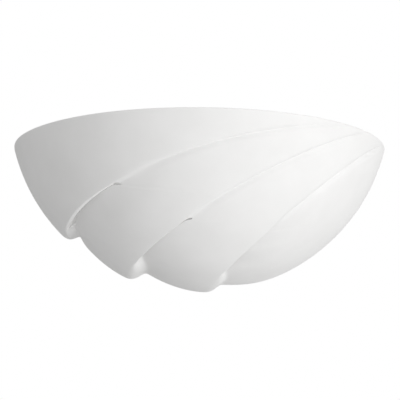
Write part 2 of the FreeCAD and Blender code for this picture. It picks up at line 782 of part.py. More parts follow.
def make_wall_plate():
    body = new_body("wall_plate")
    sketch = new_sketch(body, "XZ_Plane", "plate_outline")
    edge_x, edge_z, cut = "plate_width / 2", "plate_height / 2", "plate_corner"
    corners = []
    for right, up in ((1, -1), (1, 1), (-1, 1), (-1, -1)):
        along = ("%d * (%s - %s)" % (right, edge_x, cut), "%d * %s" % (up, edge_z))
        aside = ("%d * %s" % (right, edge_x), "%d * (%s - %s)" % (up, edge_z, cut))
        corners += [along, aside] if right == -up else [aside, along]
    draw_outline(sketch, corners)
    for side in (-1, 1):
        draw_circle(sketch, "%d * stud_spacing / 2" % side, "0", "stud_radius")
        fixing = "%d * fixing_spacing / 2" % side
        draw_slot(sketch, fixing, "0", "fixing_slot_length", "fixing_slot_radius")
        rivet = "%d * rivet_spacing / 2" % side
        draw_circle(sketch, rivet, "rivet_height", "rivet_radius")
    draw_circle(sketch, "bushing_x", "bushing_z", "bushing_radius")
    draw_circle(sketch, "earth_x", "earth_z", "stud_radius")
    draw_circle(sketch, "block_x - way_pitch / 2", "block_z", "block_screw_radius")
    pad(body, sketch, "plate_thickness")
    return body


make_wall_plate()

stepped_pins(
    "shell_studs",
    [Vector(side * size("stud_spacing / 2"), 0, 0) for side in (-1, 1)],
    [
        ("stud_radius", "0", "stud_length"),
        ("stud_head_radius", "plate_thickness", "stud_head_height"),
    ],
    OUTWARD,
)
stepped_pins(
    "arm_rivets",
    [Vector(side * size("rivet_spacing / 2"), 0, size("rivet_height")) for side in (-1, 1)],
    [
        ("rivet_radius", "0", "plate_thickness + arm_thickness"),
        ("rivet_head_radius", "plate_thickness + arm_thickness", "rivet_head_height"),
    ],
    OUTWARD,
)


def make_washer(name, side):
    foot = "panel_setback + panel_thickness + part_gap"
    top = "washer_thickness"
    bore = "stud_radius + running_fit"
    corners = [(bore, "0"), ("washer_radius", "0"), ("washer_radius", top), (bore, top)]
    spot = Vector(side * size("stud_spacing / 2"), -size(foot), 0)
    return turned_body(name, corners, Placement(spot, OUTWARD))


def make_knurled_nut(name, side):
    foot = "panel_setback + panel_thickness + washer_thickness + 2 * part_gap"
    bore = "stud_radius + running_fit"
    corners = [
        (bore, "0"),
        ("nut_collar_radius", "0"),
        ("nut_collar_radius", "nut_collar_height"),
        ("nut_radius", "nut_collar_height"),
        ("nut_radius", "nut_height - 1"),
        ("nut_radius - 1", "nut_height"),
        (bore, "nut_height"),
    ]
    spot = Vector(side * size("stud_spacing / 2"), -size(foot), 0)
    body = turned_body(name, corners, Placement(spot, OUTWARD))
    groove = new_sketch(body, "XY_Plane", name + "_groove")
    draw_circle(groove, "nut_radius + knurl_radius / 2", "0", "knurl_radius")
    cut = pocket(body, groove, "2 * nut_height", symmetric=True)
    pattern = body.newObject("PartDesign::PolarPattern", name + "_knurl")
    pattern.Originals = [cut]
    pattern.Axis = (groove, ["N_Axis"])
    pattern.Angle = 360
    pattern.Occurrences = int(size("knurl_count"))
    body.Tip = pattern
    return body


for hand, side in (("left", -1), ("right", 1)):
    make_washer("cushion_washer_" + hand, side)
    make_knurled_nut("knurled_nut_" + hand, side)

# ---------------------------------------------------------------- lamp arm and lampholder
# The lamp pieces are turned about their own Z axis and then set on the lamp axis, whose
# origin is the lampholder's seat on the front of the arm.

TILT = math.radians(size("lamp_tilt"))
LAMP_AXIS = Vector(0, -math.sin(TILT), math.cos(TILT))
ARM_DOWN = Vector(0, -math.cos(TILT), -math.sin(TILT))
ARM_FOLD = Vector(0, -size("plate_thickness"), size("arm_bend"))
SEAT = ARM_FOLD + ARM_DOWN * size("seat_reach") + LAMP_AXIS * size("arm_thickness")
ON_SEAT = Placement(SEAT, LAMP_TURN)


def make_lamp_arm():
    thick = size("arm_thickness")
    foot_top = Vector(0, -size("plate_thickness"), size("arm_top"))
    end = ARM_FOLD + ARM_DOWN * size("arm_length")
    fold_rise = thick * math.tan((math.pi / 2 - TILT) / 2)
    front_fold = ARM_FOLD + Vector(0, -thick, fold_rise)
    outline = [
        foot_top,
        ARM_FOLD,
        end,
        end + LAMP_AXIS * thick,
        front_fold,
        foot_top + Vector(0, -thick, 0),
    ]
    left = Vector(-size("arm_width / 2"), 0, 0)
    face = Part.Face(Part.makePolygon([corner + left for corner in outline + outline[:1]]))
    strip = face.extrude(left * -2)
    below = SEAT - LAMP_AXIS * 2 * thick
    drill = [Part.makeCylinder(size("nipple_radius"), 3 * thick, below, LAMP_AXIS)]
    for side in (-1, 1):
        spot = Vector(side * size("rivet_spacing / 2"), 0, size("rivet_height"))
        depth = size("plate_thickness") + 2 * thick
        drill.append(Part.makeCylinder(size("rivet_radius"), depth, spot, Vector(0, -1, 0)))
    return shaped("lamp_arm", strip.cut(drill).removeSplitter())


make_lamp_arm()


def make_locknut():
    """Hexagon locknut behind the arm."""
    body = new_body("nipple_locknut")
    sketch = new_sketch(body, "XY_Plane", "locknut_outline")
    corners = []
    for number in range(6):
        corners.append(
            (
                "locknut_radius * cos(%d deg)" % (60 * number),
                "locknut_radius * sin(%d deg)" % (60 * number),
            )
        )
    draw_outline(sketch, corners)
    draw_circle(sketch, "0", "0", "nipple_radius")
    pad(body, sketch, "locknut_height", reversed_side=True)
    behind = SEAT - LAMP_AXIS * size("arm_thickness")
    body.Placement = Placement(behind, LAMP_TURN)
    return body


make_locknut()

turned_body(
    "holder_nipple",
    [
        ("nipple_bore", "-nipple_tail"),
        ("nipple_radius", "-nipple_tail"),
        ("nipple_radius", "nipple_head"),
        ("nipple_bore", "nipple_head"),
    ],
    ON_SEAT,
)


def make_holder_cap():
    """Rear cap of the lampholder, a hollow dome with a wire entry in its upper side."""
    corners = [
        ("nipple_radius", "0"),
        ("cap_radius - cap_chamfer", "0"),
        ("cap_radius - cap_chamfer / 5", "cap_shoulder / 2"),
        ("cap_radius", "cap_shoulder"),
        ("cap_radius", "cap_height"),
        ("cap_radius - cap_wall", "cap_height"),
        ("cap_radius - cap_wall", "cap_shoulder"),
        ("cap_radius - cap_chamfer - cap_wall / 2", "cap_wall"),
        ("nipple_radius", "cap_wall"),
    ]
    body = turned_body("holder_cap", corners, ON_SEAT)
    entry = new_sketch(body, "XZ_Plane", "wire_entry")
    level = "core_bottom - terminal_height - wire_radius"
    draw_circle(entry, "0", level, "entry_radius")
    pocket(body, entry, "cap_radius + entry_radius")
    return body


make_holder_cap()

turned_body(
    "holder_skirt",
    [
        ("skirt_bore", "cap_height"),
        ("cap_radius", "cap_height"),
        ("skirt_radius", "cap_height + skirt_flare"),
        ("skirt_radius", "skirt_top - skirt_rim - 1"),
        ("skirt_radius - skirt_rim_step", "skirt_top - skirt_rim"),
        ("skirt_radius - skirt_rim_step", "skirt_top"),
        ("skirt_bore", "skirt_top"),
    ],
    ON_SEAT,
)
turned_body(
    "holder_core",
    [
        ("0", "core_bottom"),
        ("core_radius", "core_bottom"),
        ("core_radius", "core_top"),
        ("0", "core_top"),
    ],
    ON_SEAT,
)
turned_body(
    "screw_shell",
    [
        ("socket_floor_bore", "core_top"),
        ("socket_radius + socket_wall", "core_top"),
        ("socket_radius + socket_wall", "skirt_top - socket_drop - 1"),
        ("socket_radius + 2 * socket_wall", "skirt_top - socket_drop"),
        ("socket_radius + socket_wall", "skirt_top - socket_drop"),
        ("socket_radius", "skirt_top - socket_drop - 1"),
        ("socket_radius", "core_top + socket_wall"),
        ("socket_floor_bore", "core_top + socket_wall"),
    ],
    ON_SEAT,
)


def make_centre_contact():
    """Sprung brass tongue under the lamp's tip."""
    top = "lamp_tip - contact_gap"
    body = new_body("centre_contact")
    sketch = new_sketch(body, "XZ_Plane", "tongue_side")
    corners = [
        ("tongue_start", "core_top"),
        ("-tongue_bend", "core_top"),
        ("tongue_bend", top + " - tongue_thickness"),
        ("tongue_end", top + " - tongue_thickness"),
        ("tongue_end", top),
        ("tongue_bend - tongue_slope_shift", top),
        ("-tongue_bend - tongue_slope_shift", "core_top + tongue_thickness"),
        ("tongue_start", "core_top + tongue_thickness"),
    ]
    draw_outline(sketch, corners)
    pad(body, sketch, "tongue_width", symmetric=True)
    body.Placement = ON_SEAT
    return body


make_centre_contact()

stepped_pins(
    "holder_terminal_screws",
    [
        ON_SEAT.multVec(
            Vector(side * size("terminal_x"), size("terminal_y"), size("core_bottom - terminal_height"))
        )
        for side in (-1, 1)
    ],
    [
        ("terminal_radius", "0", "terminal_height / 2"),
        ("terminal_radius / 2", "terminal_height / 2", "terminal_height / 2"),
    ],
    LAMP_TURN,
)

# ---------------------------------------------------------------- lamp

RIDGE_START = 0.35
RIDGE_END = 0.65
NECK_START = 0.15
NECK_SPAN = 0.75

turned_body(
    "lamp_tip_contact",
    [
        ("0", "lamp_tip"),
        ("tip_radius - tip_thickness", "lamp_tip"),
        ("tip_radius", "lamp_tip + 2 * tip_thickness / 3"),
        ("tip_radius", "lamp_tip + tip_thickness"),
        ("0", "lamp_tip + tip_thickness"),
    ],
    ON_SEAT,
)
turned_body(
    "lamp_insulator",
    [
        ("0", "lamp_tip + tip_thickness"),
        ("insulator_radius", "lamp_tip + tip_thickness"),
        ("lamp_screw_radius - screw_chamfer", "lamp_screw_bottom"),
        ("0", "lamp_screw_bottom"),
    ],
    ON_SEAT,
)


def make_lamp_screw():
    """Screw cap of the lamp: rounded thread ridges rolled in a thin shell."""
    turns = int(size("thread_turns"))
    bottom, top, proud = "lamp_screw_bottom", "lamp_screw_top", "lamp_screw_radius"
    deep = "lamp_screw_radius - thread_depth"
    pitch = "(lamp_screw_top - lamp_screw_bottom - thread_start - thread_end) / thread_turns"
    corners = [("0", bottom), ("lamp_screw_radius - screw_chamfer", bottom)]
    for turn in range(turns):
        for radius, share in ((deep, 0), (proud, RIDGE_START), (proud, RIDGE_END)):
            level = "%s + thread_start + %.2f * %s" % (bottom, turn + share, pitch)
            corners.append((radius, level))
    corners += [(deep, top + " - thread_end"), (deep, top), ("0", top)]
    return turned_body("lamp_screw_cap", corners, ON_SEAT)


make_lamp_screw()


def lamp_side(radius_less):
    """Curved side of the lamp's neck, as radius and height pairs from neck to joint."""
    bottom, top = size("lamp_neck"), size("lamp_joint")
    joint = math.sqrt(size("globe_radius") ** 2 - (size("globe_middle") - top) ** 2)
    foot = size("lamp_screw_radius + neck_flare")
    fullest = smooth(NECK_START + NECK_SPAN)
    curve = []
    for share in (0, 0.25, 0.5, 0.75, 1):
        radius = mix(foot, joint, smooth(NECK_START + NECK_SPAN * share) / fullest)
        curve.append(Vector(radius - radius_less, 0, mix(bottom, top, share)))
    curve[-1].x = joint - radius_less
    return curve


def spun(edges):
    """Solid turned about Z from a closed profile in the XZ plane."""
    face = Part.Face(Part.Wire(edges))
    return face.revolve(Vector(), Vector(0, 0, 1), 360)


def spline_edge(points):
    curve = Part.BSplineCurve()
    curve.interpolate(points)
    return curve.toShape()


def make_lamp_body():
    """Plastic body between screw cap and globe."""
    wall = size("neck_wall")
    outer = lamp_side(0)
    inner = lamp_side(wall)
    base = size("lamp_screw_top")
    base_radius = outer[0].x
    corners = [
        inner[0],
        Vector(0, 0, inner[0].z),
        Vector(0, 0, base),
        Vector(base_radius, 0, base),
        outer[0],
    ]
    lines = [Part.makeLine(a, b) for a, b in zip(corners, corners[1:])]
    edges = [spline_edge(outer), Part.makeLine(outer[-1], inner[-1]), spline_edge(inner)]
    return shaped("lamp_body", spun(Part.__sortEdges__(lines + edges)), ON_SEAT)


def make_lamp_globe():
    """Opal globe, open at the joint with the body."""
    radius, wall = size("globe_radius"), size("globe_wall")
    middle = Vector(0, 0, size("globe_middle"))
    ball = Part.makeSphere(radius, middle).cut(Part.makeSphere(radius - wall, middle))
    below = Part.makeCylinder(2 * radius, 2 * radius, Vector(0, 0, size("lamp_joint") - 2 * radius))
    return shaped("lamp_globe", ball.cut(below), ON_SEAT)


make_lamp_body()
make_lamp_globe()

turned_body(
    "led_board",
    [
        ("0", "lamp_joint - board_drop"),
        ("board_radius", "lamp_joint - board_drop"),
        ("board_radius", "lamp_joint - board_drop + board_thickness"),
        ("0", "lamp_joint - board_drop + board_thickness"),
    ],
    ON_SEAT,
)


def make_driver_board():
    body = new_body("driver_board")
    sketch = new_sketch(body, "XZ_Plane", "driver_outline")
    bottom, top = "lamp_screw_top + neck_wall + driver_gap", "lamp_joint - board_drop"
    left, right = "-driver_width / 2", "driver_width / 2"
    draw_outline(sketch, [(left, bottom), (right, bottom), (right, top), (left, top)])
    pad(body, sketch, "board_thickness", symmetric=True)
    body.Placement = ON_SEAT
    return body


make_driver_board()


def make_led_chips():
    """Ring of light-emitting chips on the LED board."""
    count = int(size("chip_count"))
    level = size("lamp_joint - board_drop + board_thickness")
    chips = []
    for number in range(count):
        chip = doc.addObject("Part::Box", "led_chip_%d" % (number + 1))
        for side, alias in (("Length", "chip_length"), ("Width", "chip_width"), ("Height", "chip_height")):
            chip.setExpression(side, formula(alias))
        spin = Rotation(Vector(0, 0, 1), 360 * number / count)
        corner = spin.multVec(Vector(size("chip_ring"), -size("chip_width / 2"), level))
        chip.Placement = ON_SEAT.multiply(Placement(corner, spin))
        chips.append(chip)
    group = doc.addObject("Part::Compound", "led_chips")
    group.Label = "led_chips"
    group.Links = chips
    return group


make_led_chips()

# ---------------------------------------------------------------- terminals and wiring

WAYS = [-1, 0, 1]
PLATE_FRONT = -size("plate_thickness")
BLOCK_MIDDLE = Vector(size("block_x"), PLATE_FRONT - size("block_depth / 2"), size("block_z"))
BLOCK_FOOT = BLOCK_MIDDLE.z - size("block_height / 2")


def way_x(way):
    return size("block_x") + way * size("way_pitch")


def make_block_body():
    """Moulded three-way terminal block with a bore and two screw wells to each way."""
    body = new_body("terminal_block")
    outline = new_sketch(body, "XZ_Plane", "block_front")
    edges = ("block_x - block_width / 2", "block_x + block_width / 2")
    levels = ("block_z - block_height / 2", "block_z + block_height / 2")
    corners = [
        (edges[0], levels[0]),
        (edges[1], levels[0]),
        (edges[1], levels[1]),
        (edges[0], levels[1]),
    ]
    draw_outline(outline, corners)
    pad(body, outline, "plate_thickness + block_depth")
    seat = new_sketch(body, "XZ_Plane", "block_seat")
    draw_outline(seat, corners)
    pocket(body, seat, "plate_thickness", reversed_side=True)
    wells = new_sketch(body, "XZ_Plane", "screw_wells")
    for way in WAYS:
        across = "block_x + %d * way_pitch" % way
        for side in (-1, 1):
            up = "block_z + %d * way_screw_offset" % side
            draw_circle(wells, across, up, "way_screw_radius")
    draw_circle(wells, "block_x - way_pitch / 2", "block_z", "block_screw_radius")
    pocket(body, wells, "2 * block_depth", reversed_side=True)
    bores = new_sketch(body, "XY_Plane", "way_bores")
    for way in WAYS:
        across = "block_x + %d * way_pitch" % way
        draw_circle(bores, across, "-(plate_thickness + block_depth / 2)", "way_radius")
    pocket(body, bores, "block_z + block_height", reversed_side=True)
    return body


make_block_body()


def make_way_tubes():
    """Brass tube of each way, drilled for its two clamping screws."""
    tubes = []
    for way in WAYS:
        foot = Vector(way_x(way), BLOCK_MIDDLE.y, BLOCK_FOOT + size("way_inset"))
        length = size("block_height - 2 * way_inset")
        tube = Part.makeCylinder(size("way_radius"), length, foot)
        drills = [Part.makeCylinder(size("way_bore"), length, foot)]
        for side in (-1, 1):
            level = size("block_z") + side * size("way_screw_offset")
            spot = Vector(way_x(way), BLOCK_MIDDLE.y, level)
            drill_length = size("way_screw_length")
            drills.append(Part.makeCylinder(size("way_screw_radius"), drill_length, spot, Vector(0, -1, 0)))
        tubes.append(tube.cut(drills))
    return shaped("terminal_tubes", Part.makeCompound(tubes))


make_way_tubes()

screw_feet = []
for way in WAYS:
    for side in (-1, 1):
        level = size("block_z") + side * size("way_screw_offset")
        screw_feet.append(Vector(way_x(way), BLOCK_MIDDLE.y - size("wire_radius"), level))
clamp = ("way_screw_radius", "0", "way_screw_length")
stepped_pins("terminal_screws", screw_feet, [clamp], OUTWARD)
stepped_pins(
    "block_screw",
    [Vector(size("block_x - way_pitch / 2"), 0, size("block_z"))],
    [
        ("block_screw_radius", "0", "plate_thickness + block_depth"),
        ("block_screw_head", "plate_thickness + block_depth", "block_screw_rise"),
    ],
    OUTWARD,
)


def make_cable_bushing():
    """Snap-in bushing that lines the cable hole of the plate."""
    spot = Vector(size("bushing_x"), 0, size("bushing_z"))
    corners = [
        ("bushing_bore", "0"),
        ("bushing_radius", "0"),
        ("bushing_radius", "plate_thickness"),
        ("bushing_flange", "plate_thickness"),
        ("bushing_flange", "plate_thickness + bushing_wall"),
        ("bushing_bore + bushing_wall", "bushing_depth"),
        ("bushing_bore", "bushing_depth"),
    ]
    return turned_body("cable_bushing", corners, Placement(spot, OUTWARD))


make_cable_bushing()

EARTH_SPOT = Vector(size("earth_x"), 0, size("earth_z"))
stepped_pins(
    "earth_screw",
    [EARTH_SPOT],
    [("stud_radius", "0", "earth_length")],
    OUTWARD,
)


def make_earth_tag():
    """Ring tag on the earth screw, with a crimp barrel that takes the earth wire from above."""
    thick = size("tag_thickness")
    front = PLATE_FRONT - thick
    ring_middle = EARTH_SPOT + Vector(0, front, 0)
    ring = Part.makeCylinder(size("tag_radius"), thick, ring_middle, Vector(0, 1, 0))
    barrel_radius = size("tag_barrel_radius")
    barrel_foot = EARTH_SPOT + Vector(0, PLATE_FRONT - barrel_radius, size("tag_radius + tag_neck"))
    barrel = Part.makeCylinder(barrel_radius, size("tag_barrel_length"), barrel_foot)
    half_neck = size("tag_neck_width / 2")
    neck = box_between(
        EARTH_SPOT + Vector(-half_neck, front, 0),
        EARTH_SPOT + Vector(half_neck, PLATE_FRONT, size("tag_radius + tag_neck + 1")),
    )
    tag = ring.fuse([barrel, neck])
    hole = Part.makeCylinder(size("stud_radius"), size("earth_length"), EARTH_SPOT, Vector(0, -1, 0))
    bore = Part.makeCylinder(size("wire_radius"), size("tag_barrel_length"), barrel_foot)
    return shaped("earth_tag", tag.cut([hole, bore]).removeSplitter())


make_earth_tag()


def make_earth_nut():
    body = new_body("earth_nut")
    sketch = new_sketch(body, "XY_Plane", "earth_nut_outline")
    corners = []
    for number in range(6):
        corners.append(
            (
                "earth_nut_radius * cos(%d deg)" % (60 * number),
                "earth_nut_radius * sin(%d deg)" % (60 * number),
            )
        )
    draw_outline(sketch, corners)
    draw_circle(sketch, "0", "0", "stud_radius")
    pad(body, sketch, "earth_nut_height")
    front = size("plate_thickness + tag_thickness")
    body.Placement = Placement(EARTH_SPOT + Vector(0, -front, 0), OUTWARD)
    return body


make_earth_nut()

ENTRY_LEVEL = size("core_bottom - terminal_height - wire_radius")


def lamp_wire(name, way, side):
    """Wire from one way of the block to the lampholder, in at the cap's upper side."""
    aside = side * size("wire_aside")
    points = [
        Vector(way_x(way), BLOCK_MIDDLE.y, BLOCK_FOOT + size("wire_depth")),
        Vector(way_x(way), BLOCK_MIDDLE.y, BLOCK_FOOT - size("wire_drop")),
        ON_SEAT.multVec(Vector(aside, size("cap_radius + wire_rise"), ENTRY_LEVEL)),
        ON_SEAT.multVec(Vector(aside, size("wire_reach"), ENTRY_LEVEL)),
    ]
    return shaped(name, tube_solid(points, size("wire_radius"), size("wire_bend")))


lamp_wire("live_wire", WAYS[0], -1)
lamp_wire("neutral_wire", WAYS[1], 1)


def make_earth_wire():
    """Wire from the last way of the block down into the barrel of the ring tag."""
    across = way_x(WAYS[2])
    barrel_top = EARTH_SPOT.z + size("tag_radius + tag_neck + tag_barrel_length")
    barrel_y = PLATE_FRONT - size("tag_barrel_radius")
    points = [
        Vector(across, BLOCK_MIDDLE.y, BLOCK_FOOT + size("wire_depth")),
        Vector(across, BLOCK_MIDDLE.y, BLOCK_FOOT - size("earth_drop")),
        Vector(EARTH_SPOT.x, barrel_y, barrel_top + size("earth_rise")),
        Vector(EARTH_SPOT.x, barrel_y, barrel_top - size("earth_depth")),
    ]
    return shaped("earth_wire", tube_solid(points, size("wire_radius"), size("earth_bend")))


make_earth_wire()

# ---------------------------------------------------------------- check and write

NODES = [
    "shell",
    "wall_plate",
    "shell_studs",
    "arm_rivets",
    "cushion_washer_left",
    "cushion_washer_right",
    "knurled_nut_left",
    "knurled_nut_right",
    "lamp_arm",
    "nipple_locknut",
    "holder_nipple",
    "holder_cap",
    "holder_skirt",
    "holder_core",
    "screw_shell",
    "centre_contact",
    "holder_terminal_screws",
    "lamp_tip_contact",
    "lamp_insulator",
    "lamp_screw_cap",
    "lamp_body",
    "lamp_globe",
    "led_board",
    "driver_board",
    "led_chips",
    "terminal_block",
    "terminal_tubes",
    "terminal_screws",
    "block_screw",
    "cable_bushing",
    "earth_screw",
    "earth_tag",
    "earth_nut",
    "live_wire",
    "neutral_wire",
    "earth_wire",
]

doc.recompute()
for item in doc.Objects:
    if "Invalid" in item.State or "Error" in item.State:
        raise RuntimeError("%s did not build: %s" % (item.Name, item.State))
for name in NODES:
    shape = doc.getObjectsByLabel(name)[0].Shape
    if shape.isNull() or not shape.isValid():
        raise RuntimeError("%s has no valid shape" % name)
for name in NODES:
    shape = doc.getObjectsByLabel(name)[0].Shape
    shape.exportStep("parts/%s.step" % name)
    print("%-24s %2d solids %10.1f mm3" % (name, len(shape.Solids), shape.Volume))
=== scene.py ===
import json
import math

import bpy
from mathutils import Matrix, Vector


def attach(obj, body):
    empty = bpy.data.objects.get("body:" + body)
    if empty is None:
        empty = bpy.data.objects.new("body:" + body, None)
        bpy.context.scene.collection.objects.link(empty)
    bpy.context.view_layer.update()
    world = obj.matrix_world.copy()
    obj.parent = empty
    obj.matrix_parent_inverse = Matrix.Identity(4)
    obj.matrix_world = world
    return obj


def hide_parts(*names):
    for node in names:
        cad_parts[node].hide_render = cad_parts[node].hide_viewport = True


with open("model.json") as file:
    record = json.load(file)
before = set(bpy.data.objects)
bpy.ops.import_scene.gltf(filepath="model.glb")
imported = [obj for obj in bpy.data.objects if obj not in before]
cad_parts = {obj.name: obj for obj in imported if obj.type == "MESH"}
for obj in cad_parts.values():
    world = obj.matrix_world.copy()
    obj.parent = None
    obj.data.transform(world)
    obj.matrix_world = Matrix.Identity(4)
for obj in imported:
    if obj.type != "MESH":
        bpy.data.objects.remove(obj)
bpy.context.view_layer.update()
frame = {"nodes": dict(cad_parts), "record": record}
nodes = frame["nodes"]


def new_object(name, data):
    """Object of this name, linked to the scene."""
    made = bpy.data.objects.new(name, data)
    bpy.context.scene.collection.objects.link(made)
    return made


# ---------------------------------------------------------------- materials


def new_material(name):
    """Node material with a Principled shader; returns the material, its tree and the shader."""
    material = bpy.data.materials.new(name)
    material.use_nodes = True
    tree = material.node_tree
    return material, tree, tree.nodes["Principled BSDF"]


def coordinates(tree, stretch=(1, 1, 1)):
    """Object coordinates in metres, stretched per axis."""
    source = tree.nodes.new("ShaderNodeTexCoord")
    mapping = tree.nodes.new("ShaderNodeMapping")
    mapping.inputs["Scale"].default_value = stretch
    tree.links.new(source.outputs["Object"], mapping.inputs["Vector"])
    return mapping.outputs["Vector"]


def noise(tree, vector, grain, detail=3.0, roughness=0.5):
    """Noise whose features are about this many metres across."""
    texture = tree.nodes.new("ShaderNodeTexNoise")
    texture.inputs["Scale"].default_value = 1 / grain
    texture.inputs["Detail"].default_value = detail
    texture.inputs["Roughness"].default_value = roughness
    tree.links.new(vector, texture.inputs["Vector"])
    return texture.outputs["Fac"]


def ramp(tree, factor, low, high, start=0.35, end=0.65):
    """Colour between two colours as the factor goes from start to end."""
    node = tree.nodes.new("ShaderNodeValToRGB")
    node.color_ramp.elements[0].position = start
    node.color_ramp.elements[0].color = (*low, 1)
    node.color_ramp.elements[1].position = end
    node.color_ramp.elements[1].color = (*high, 1)
    tree.links.new(factor, node.inputs["Fac"])
    return node.outputs["Color"]


def spread(tree, factor, low, high):
    """Value between low and high as the factor goes over a noise's usual range."""
    node = tree.nodes.new("ShaderNodeMapRange")
    node.inputs["From Min"].default_value = 0.3
    node.inputs["From Max"].default_value = 0.7
    node.inputs["To Min"].default_value = low
    node.inputs["To Max"].default_value = high
    tree.links.new(factor, node.inputs["Value"])
    return node.outputs["Result"]


def bump(tree, height, distance, strength=1.0, under=None):
    """Bump of this depth in metres, laid over another normal."""
    node = tree.nodes.new("ShaderNodeBump")
    node.inputs["Strength"].default_value = strength
    node.inputs["Distance"].default_value = distance
    tree.links.new(height, node.inputs["Height"])
    if under is not None:
        tree.links.new(under, node.inputs["Normal"])
    return node.outputs["Normal"]


def surface(
    name,
    low,
    high,
    rough,
    patch=0.02,
    grain=0.0005,
    depth=0.00001,
    metallic=0.0,
    stretch=(1, 1, 1),
    **extra,
):
    """Material whose colour drifts between two colours over patches, with a fine grain."""
    material, tree, shader = new_material(name)
    vector = coordinates(tree, stretch)
    patches = noise(tree, vector, patch)
    fine = noise(tree, vector, grain, detail=2.0)
    tree.links.new(ramp(tree, patches, low, high), shader.inputs["Base Color"])
    tree.links.new(spread(tree, fine, *rough), shader.inputs["Roughness"])
    tree.links.new(bump(tree, fine, depth), shader.inputs["Normal"])
    shader.inputs["Metallic"].default_value = metallic
    for socket, value in extra.items():
        shader.inputs[socket.replace("_", " ")].default_value = value
    return material


def bisque():
    """Matt unglazed white ceramic: pressed clay with a fine open grain and faint clouds."""
    material, tree, shader = new_material("bisque")
    vector = coordinates(tree)
    clouds = noise(tree, vector, 0.035, detail=4.0)
    colour = ramp(tree, clouds, (0.845, 0.842, 0.835), (0.875, 0.872, 0.866), 0.3, 0.7)
    tree.links.new(colour, shader.inputs["Base Color"])
    pores = noise(tree, vector, 0.0007, detail=4.0, roughness=0.6)
    waves = noise(tree, vector, 0.012, detail=2.0)
    tree.links.new(spread(tree, pores, 0.72, 0.88), shader.inputs["Roughness"])
    wavy = bump(tree, waves, 0.00025, 0.5)
    tree.links.new(bump(tree, pores, 0.00005, 0.6, wavy), shader.inputs["Normal"])
    shader.inputs["Specular IOR Level"].default_value = 0.3
    return material


def striped(name, low, high, width):
    """Insulation of two colours in slanting stripes."""
    material, tree, shader = new_material(name)
    vector = coordinates(tree)
    wave = tree.nodes.new("ShaderNodeTexWave")
    wave.bands_direction = "DIAGONAL"
    wave.inputs["Scale"].default_value = 1 / width
    wave.inputs["Distortion"].default_value = 0.3
    tree.links.new(vector, wave.inputs["Vector"])
    colour = ramp(tree, wave.outputs["Fac"], low, high, 0.45, 0.55)
    tree.links.new(colour, shader.inputs["Base Color"])
    fine = noise(tree, vector, 0.0006)
    tree.links.new(spread(tree, fine, 0.4, 0.55), shader.inputs["Roughness"])
    return material


MATERIALS = {
    "bisque": bisque(),
    "plated_steel": surface(
        "plated_steel", (0.50, 0.51, 0.52), (0.60, 0.61, 0.62), (0.28, 0.42),
        patch=0.006, grain=0.0006, metallic=1.0, stretch=(0.15, 1, 1),
    ),
    "plated_screw": surface(
        "plated_screw", (0.60, 0.60, 0.60), (0.70, 0.70, 0.71), (0.18, 0.30),
        patch=0.004, grain=0.0004, depth=0.000004, metallic=1.0,
    ),
    "knurled_brass": surface(
        "knurled_brass", (0.62, 0.46, 0.18), (0.75, 0.58, 0.27), (0.20, 0.34),
        patch=0.005, grain=0.0004, depth=0.000005, metallic=1.0,
    ),
    "contact_brass": surface(
        "contact_brass", (0.58, 0.42, 0.17), (0.72, 0.55, 0.25), (0.25, 0.42),
        patch=0.005, grain=0.0005, depth=0.000005, metallic=1.0,
    ),
    "silicone": surface(
        "silicone", (0.74, 0.73, 0.70), (0.80, 0.79, 0.76), (0.42, 0.55),
        patch=0.004, Subsurface_Weight=0.3, Subsurface_Scale=0.002, Subsurface_Radius=(1, 1, 1),
    ),
    "holder_plastic": surface(
        "holder_plastic", (0.74, 0.74, 0.72), (0.79, 0.79, 0.77), (0.40, 0.52),
        patch=0.012, grain=0.0005, depth=0.000012,
    ),
    "porcelain": surface(
        "porcelain", (0.76, 0.75, 0.72), (0.82, 0.81, 0.78), (0.10, 0.18),
        patch=0.01, Coat_Weight=0.5, Coat_Roughness=0.06,
    ),
    "lamp_cap_metal": surface(
        "lamp_cap_metal", (0.62, 0.62, 0.62), (0.72, 0.72, 0.73), (0.16, 0.28),
        patch=0.005, grain=0.0005, depth=0.000004, metallic=1.0,
    ),
    "lamp_glass_black": surface(
        "lamp_glass_black", (0.012, 0.012, 0.014), (0.02, 0.02, 0.024), (0.08, 0.16),
        patch=0.004,
    ),
    "lamp_plastic": surface(
        "lamp_plastic", (0.80, 0.80, 0.79), (0.84, 0.84, 0.83), (0.28, 0.38),
        patch=0.015, grain=0.0006, depth=0.000008,
    ),
    "opal": surface(
        "opal", (0.84, 0.84, 0.82), (0.88, 0.88, 0.86), (0.32, 0.42),
        patch=0.02, Subsurface_Weight=0.5, Subsurface_Scale=0.006, Subsurface_Radius=(1, 1, 1),
    ),
    "board": surface(
        "board", (0.74, 0.76, 0.74), (0.80, 0.82, 0.80), (0.30, 0.42), patch=0.006,
    ),
    "led_yellow": surface(
        "led_yellow", (0.78, 0.62, 0.12), (0.88, 0.72, 0.18), (0.32, 0.45), patch=0.002,
    ),
    "terminal_nylon": surface(
        "terminal_nylon", (0.74, 0.74, 0.68), (0.80, 0.80, 0.74), (0.35, 0.50),
        patch=0.008, Subsurface_Weight=0.2, Subsurface_Scale=0.002, Subsurface_Radius=(1, 1, 1),
    ),
    "bushing_rubber": surface(
        "bushing_rubber", (0.018, 0.018, 0.018), (0.03, 0.03, 0.03), (0.55, 0.70),
        patch=0.004, grain=0.0004, depth=0.00002,
    ),
    "wire_brown": surface(
        "wire_brown", (0.13, 0.05, 0.02), (0.17, 0.07, 0.03), (0.38, 0.52), patch=0.003,
    ),
    "wire_blue": surface(
        "wire_blue", (0.02, 0.10, 0.38), (0.03, 0.14, 0.46), (0.38, 0.52), patch=0.003,
    ),
    "wire_earth": striped("wire_earth", (0.06, 0.32, 0.05), (0.75, 0.65, 0.05), 0.004),
}

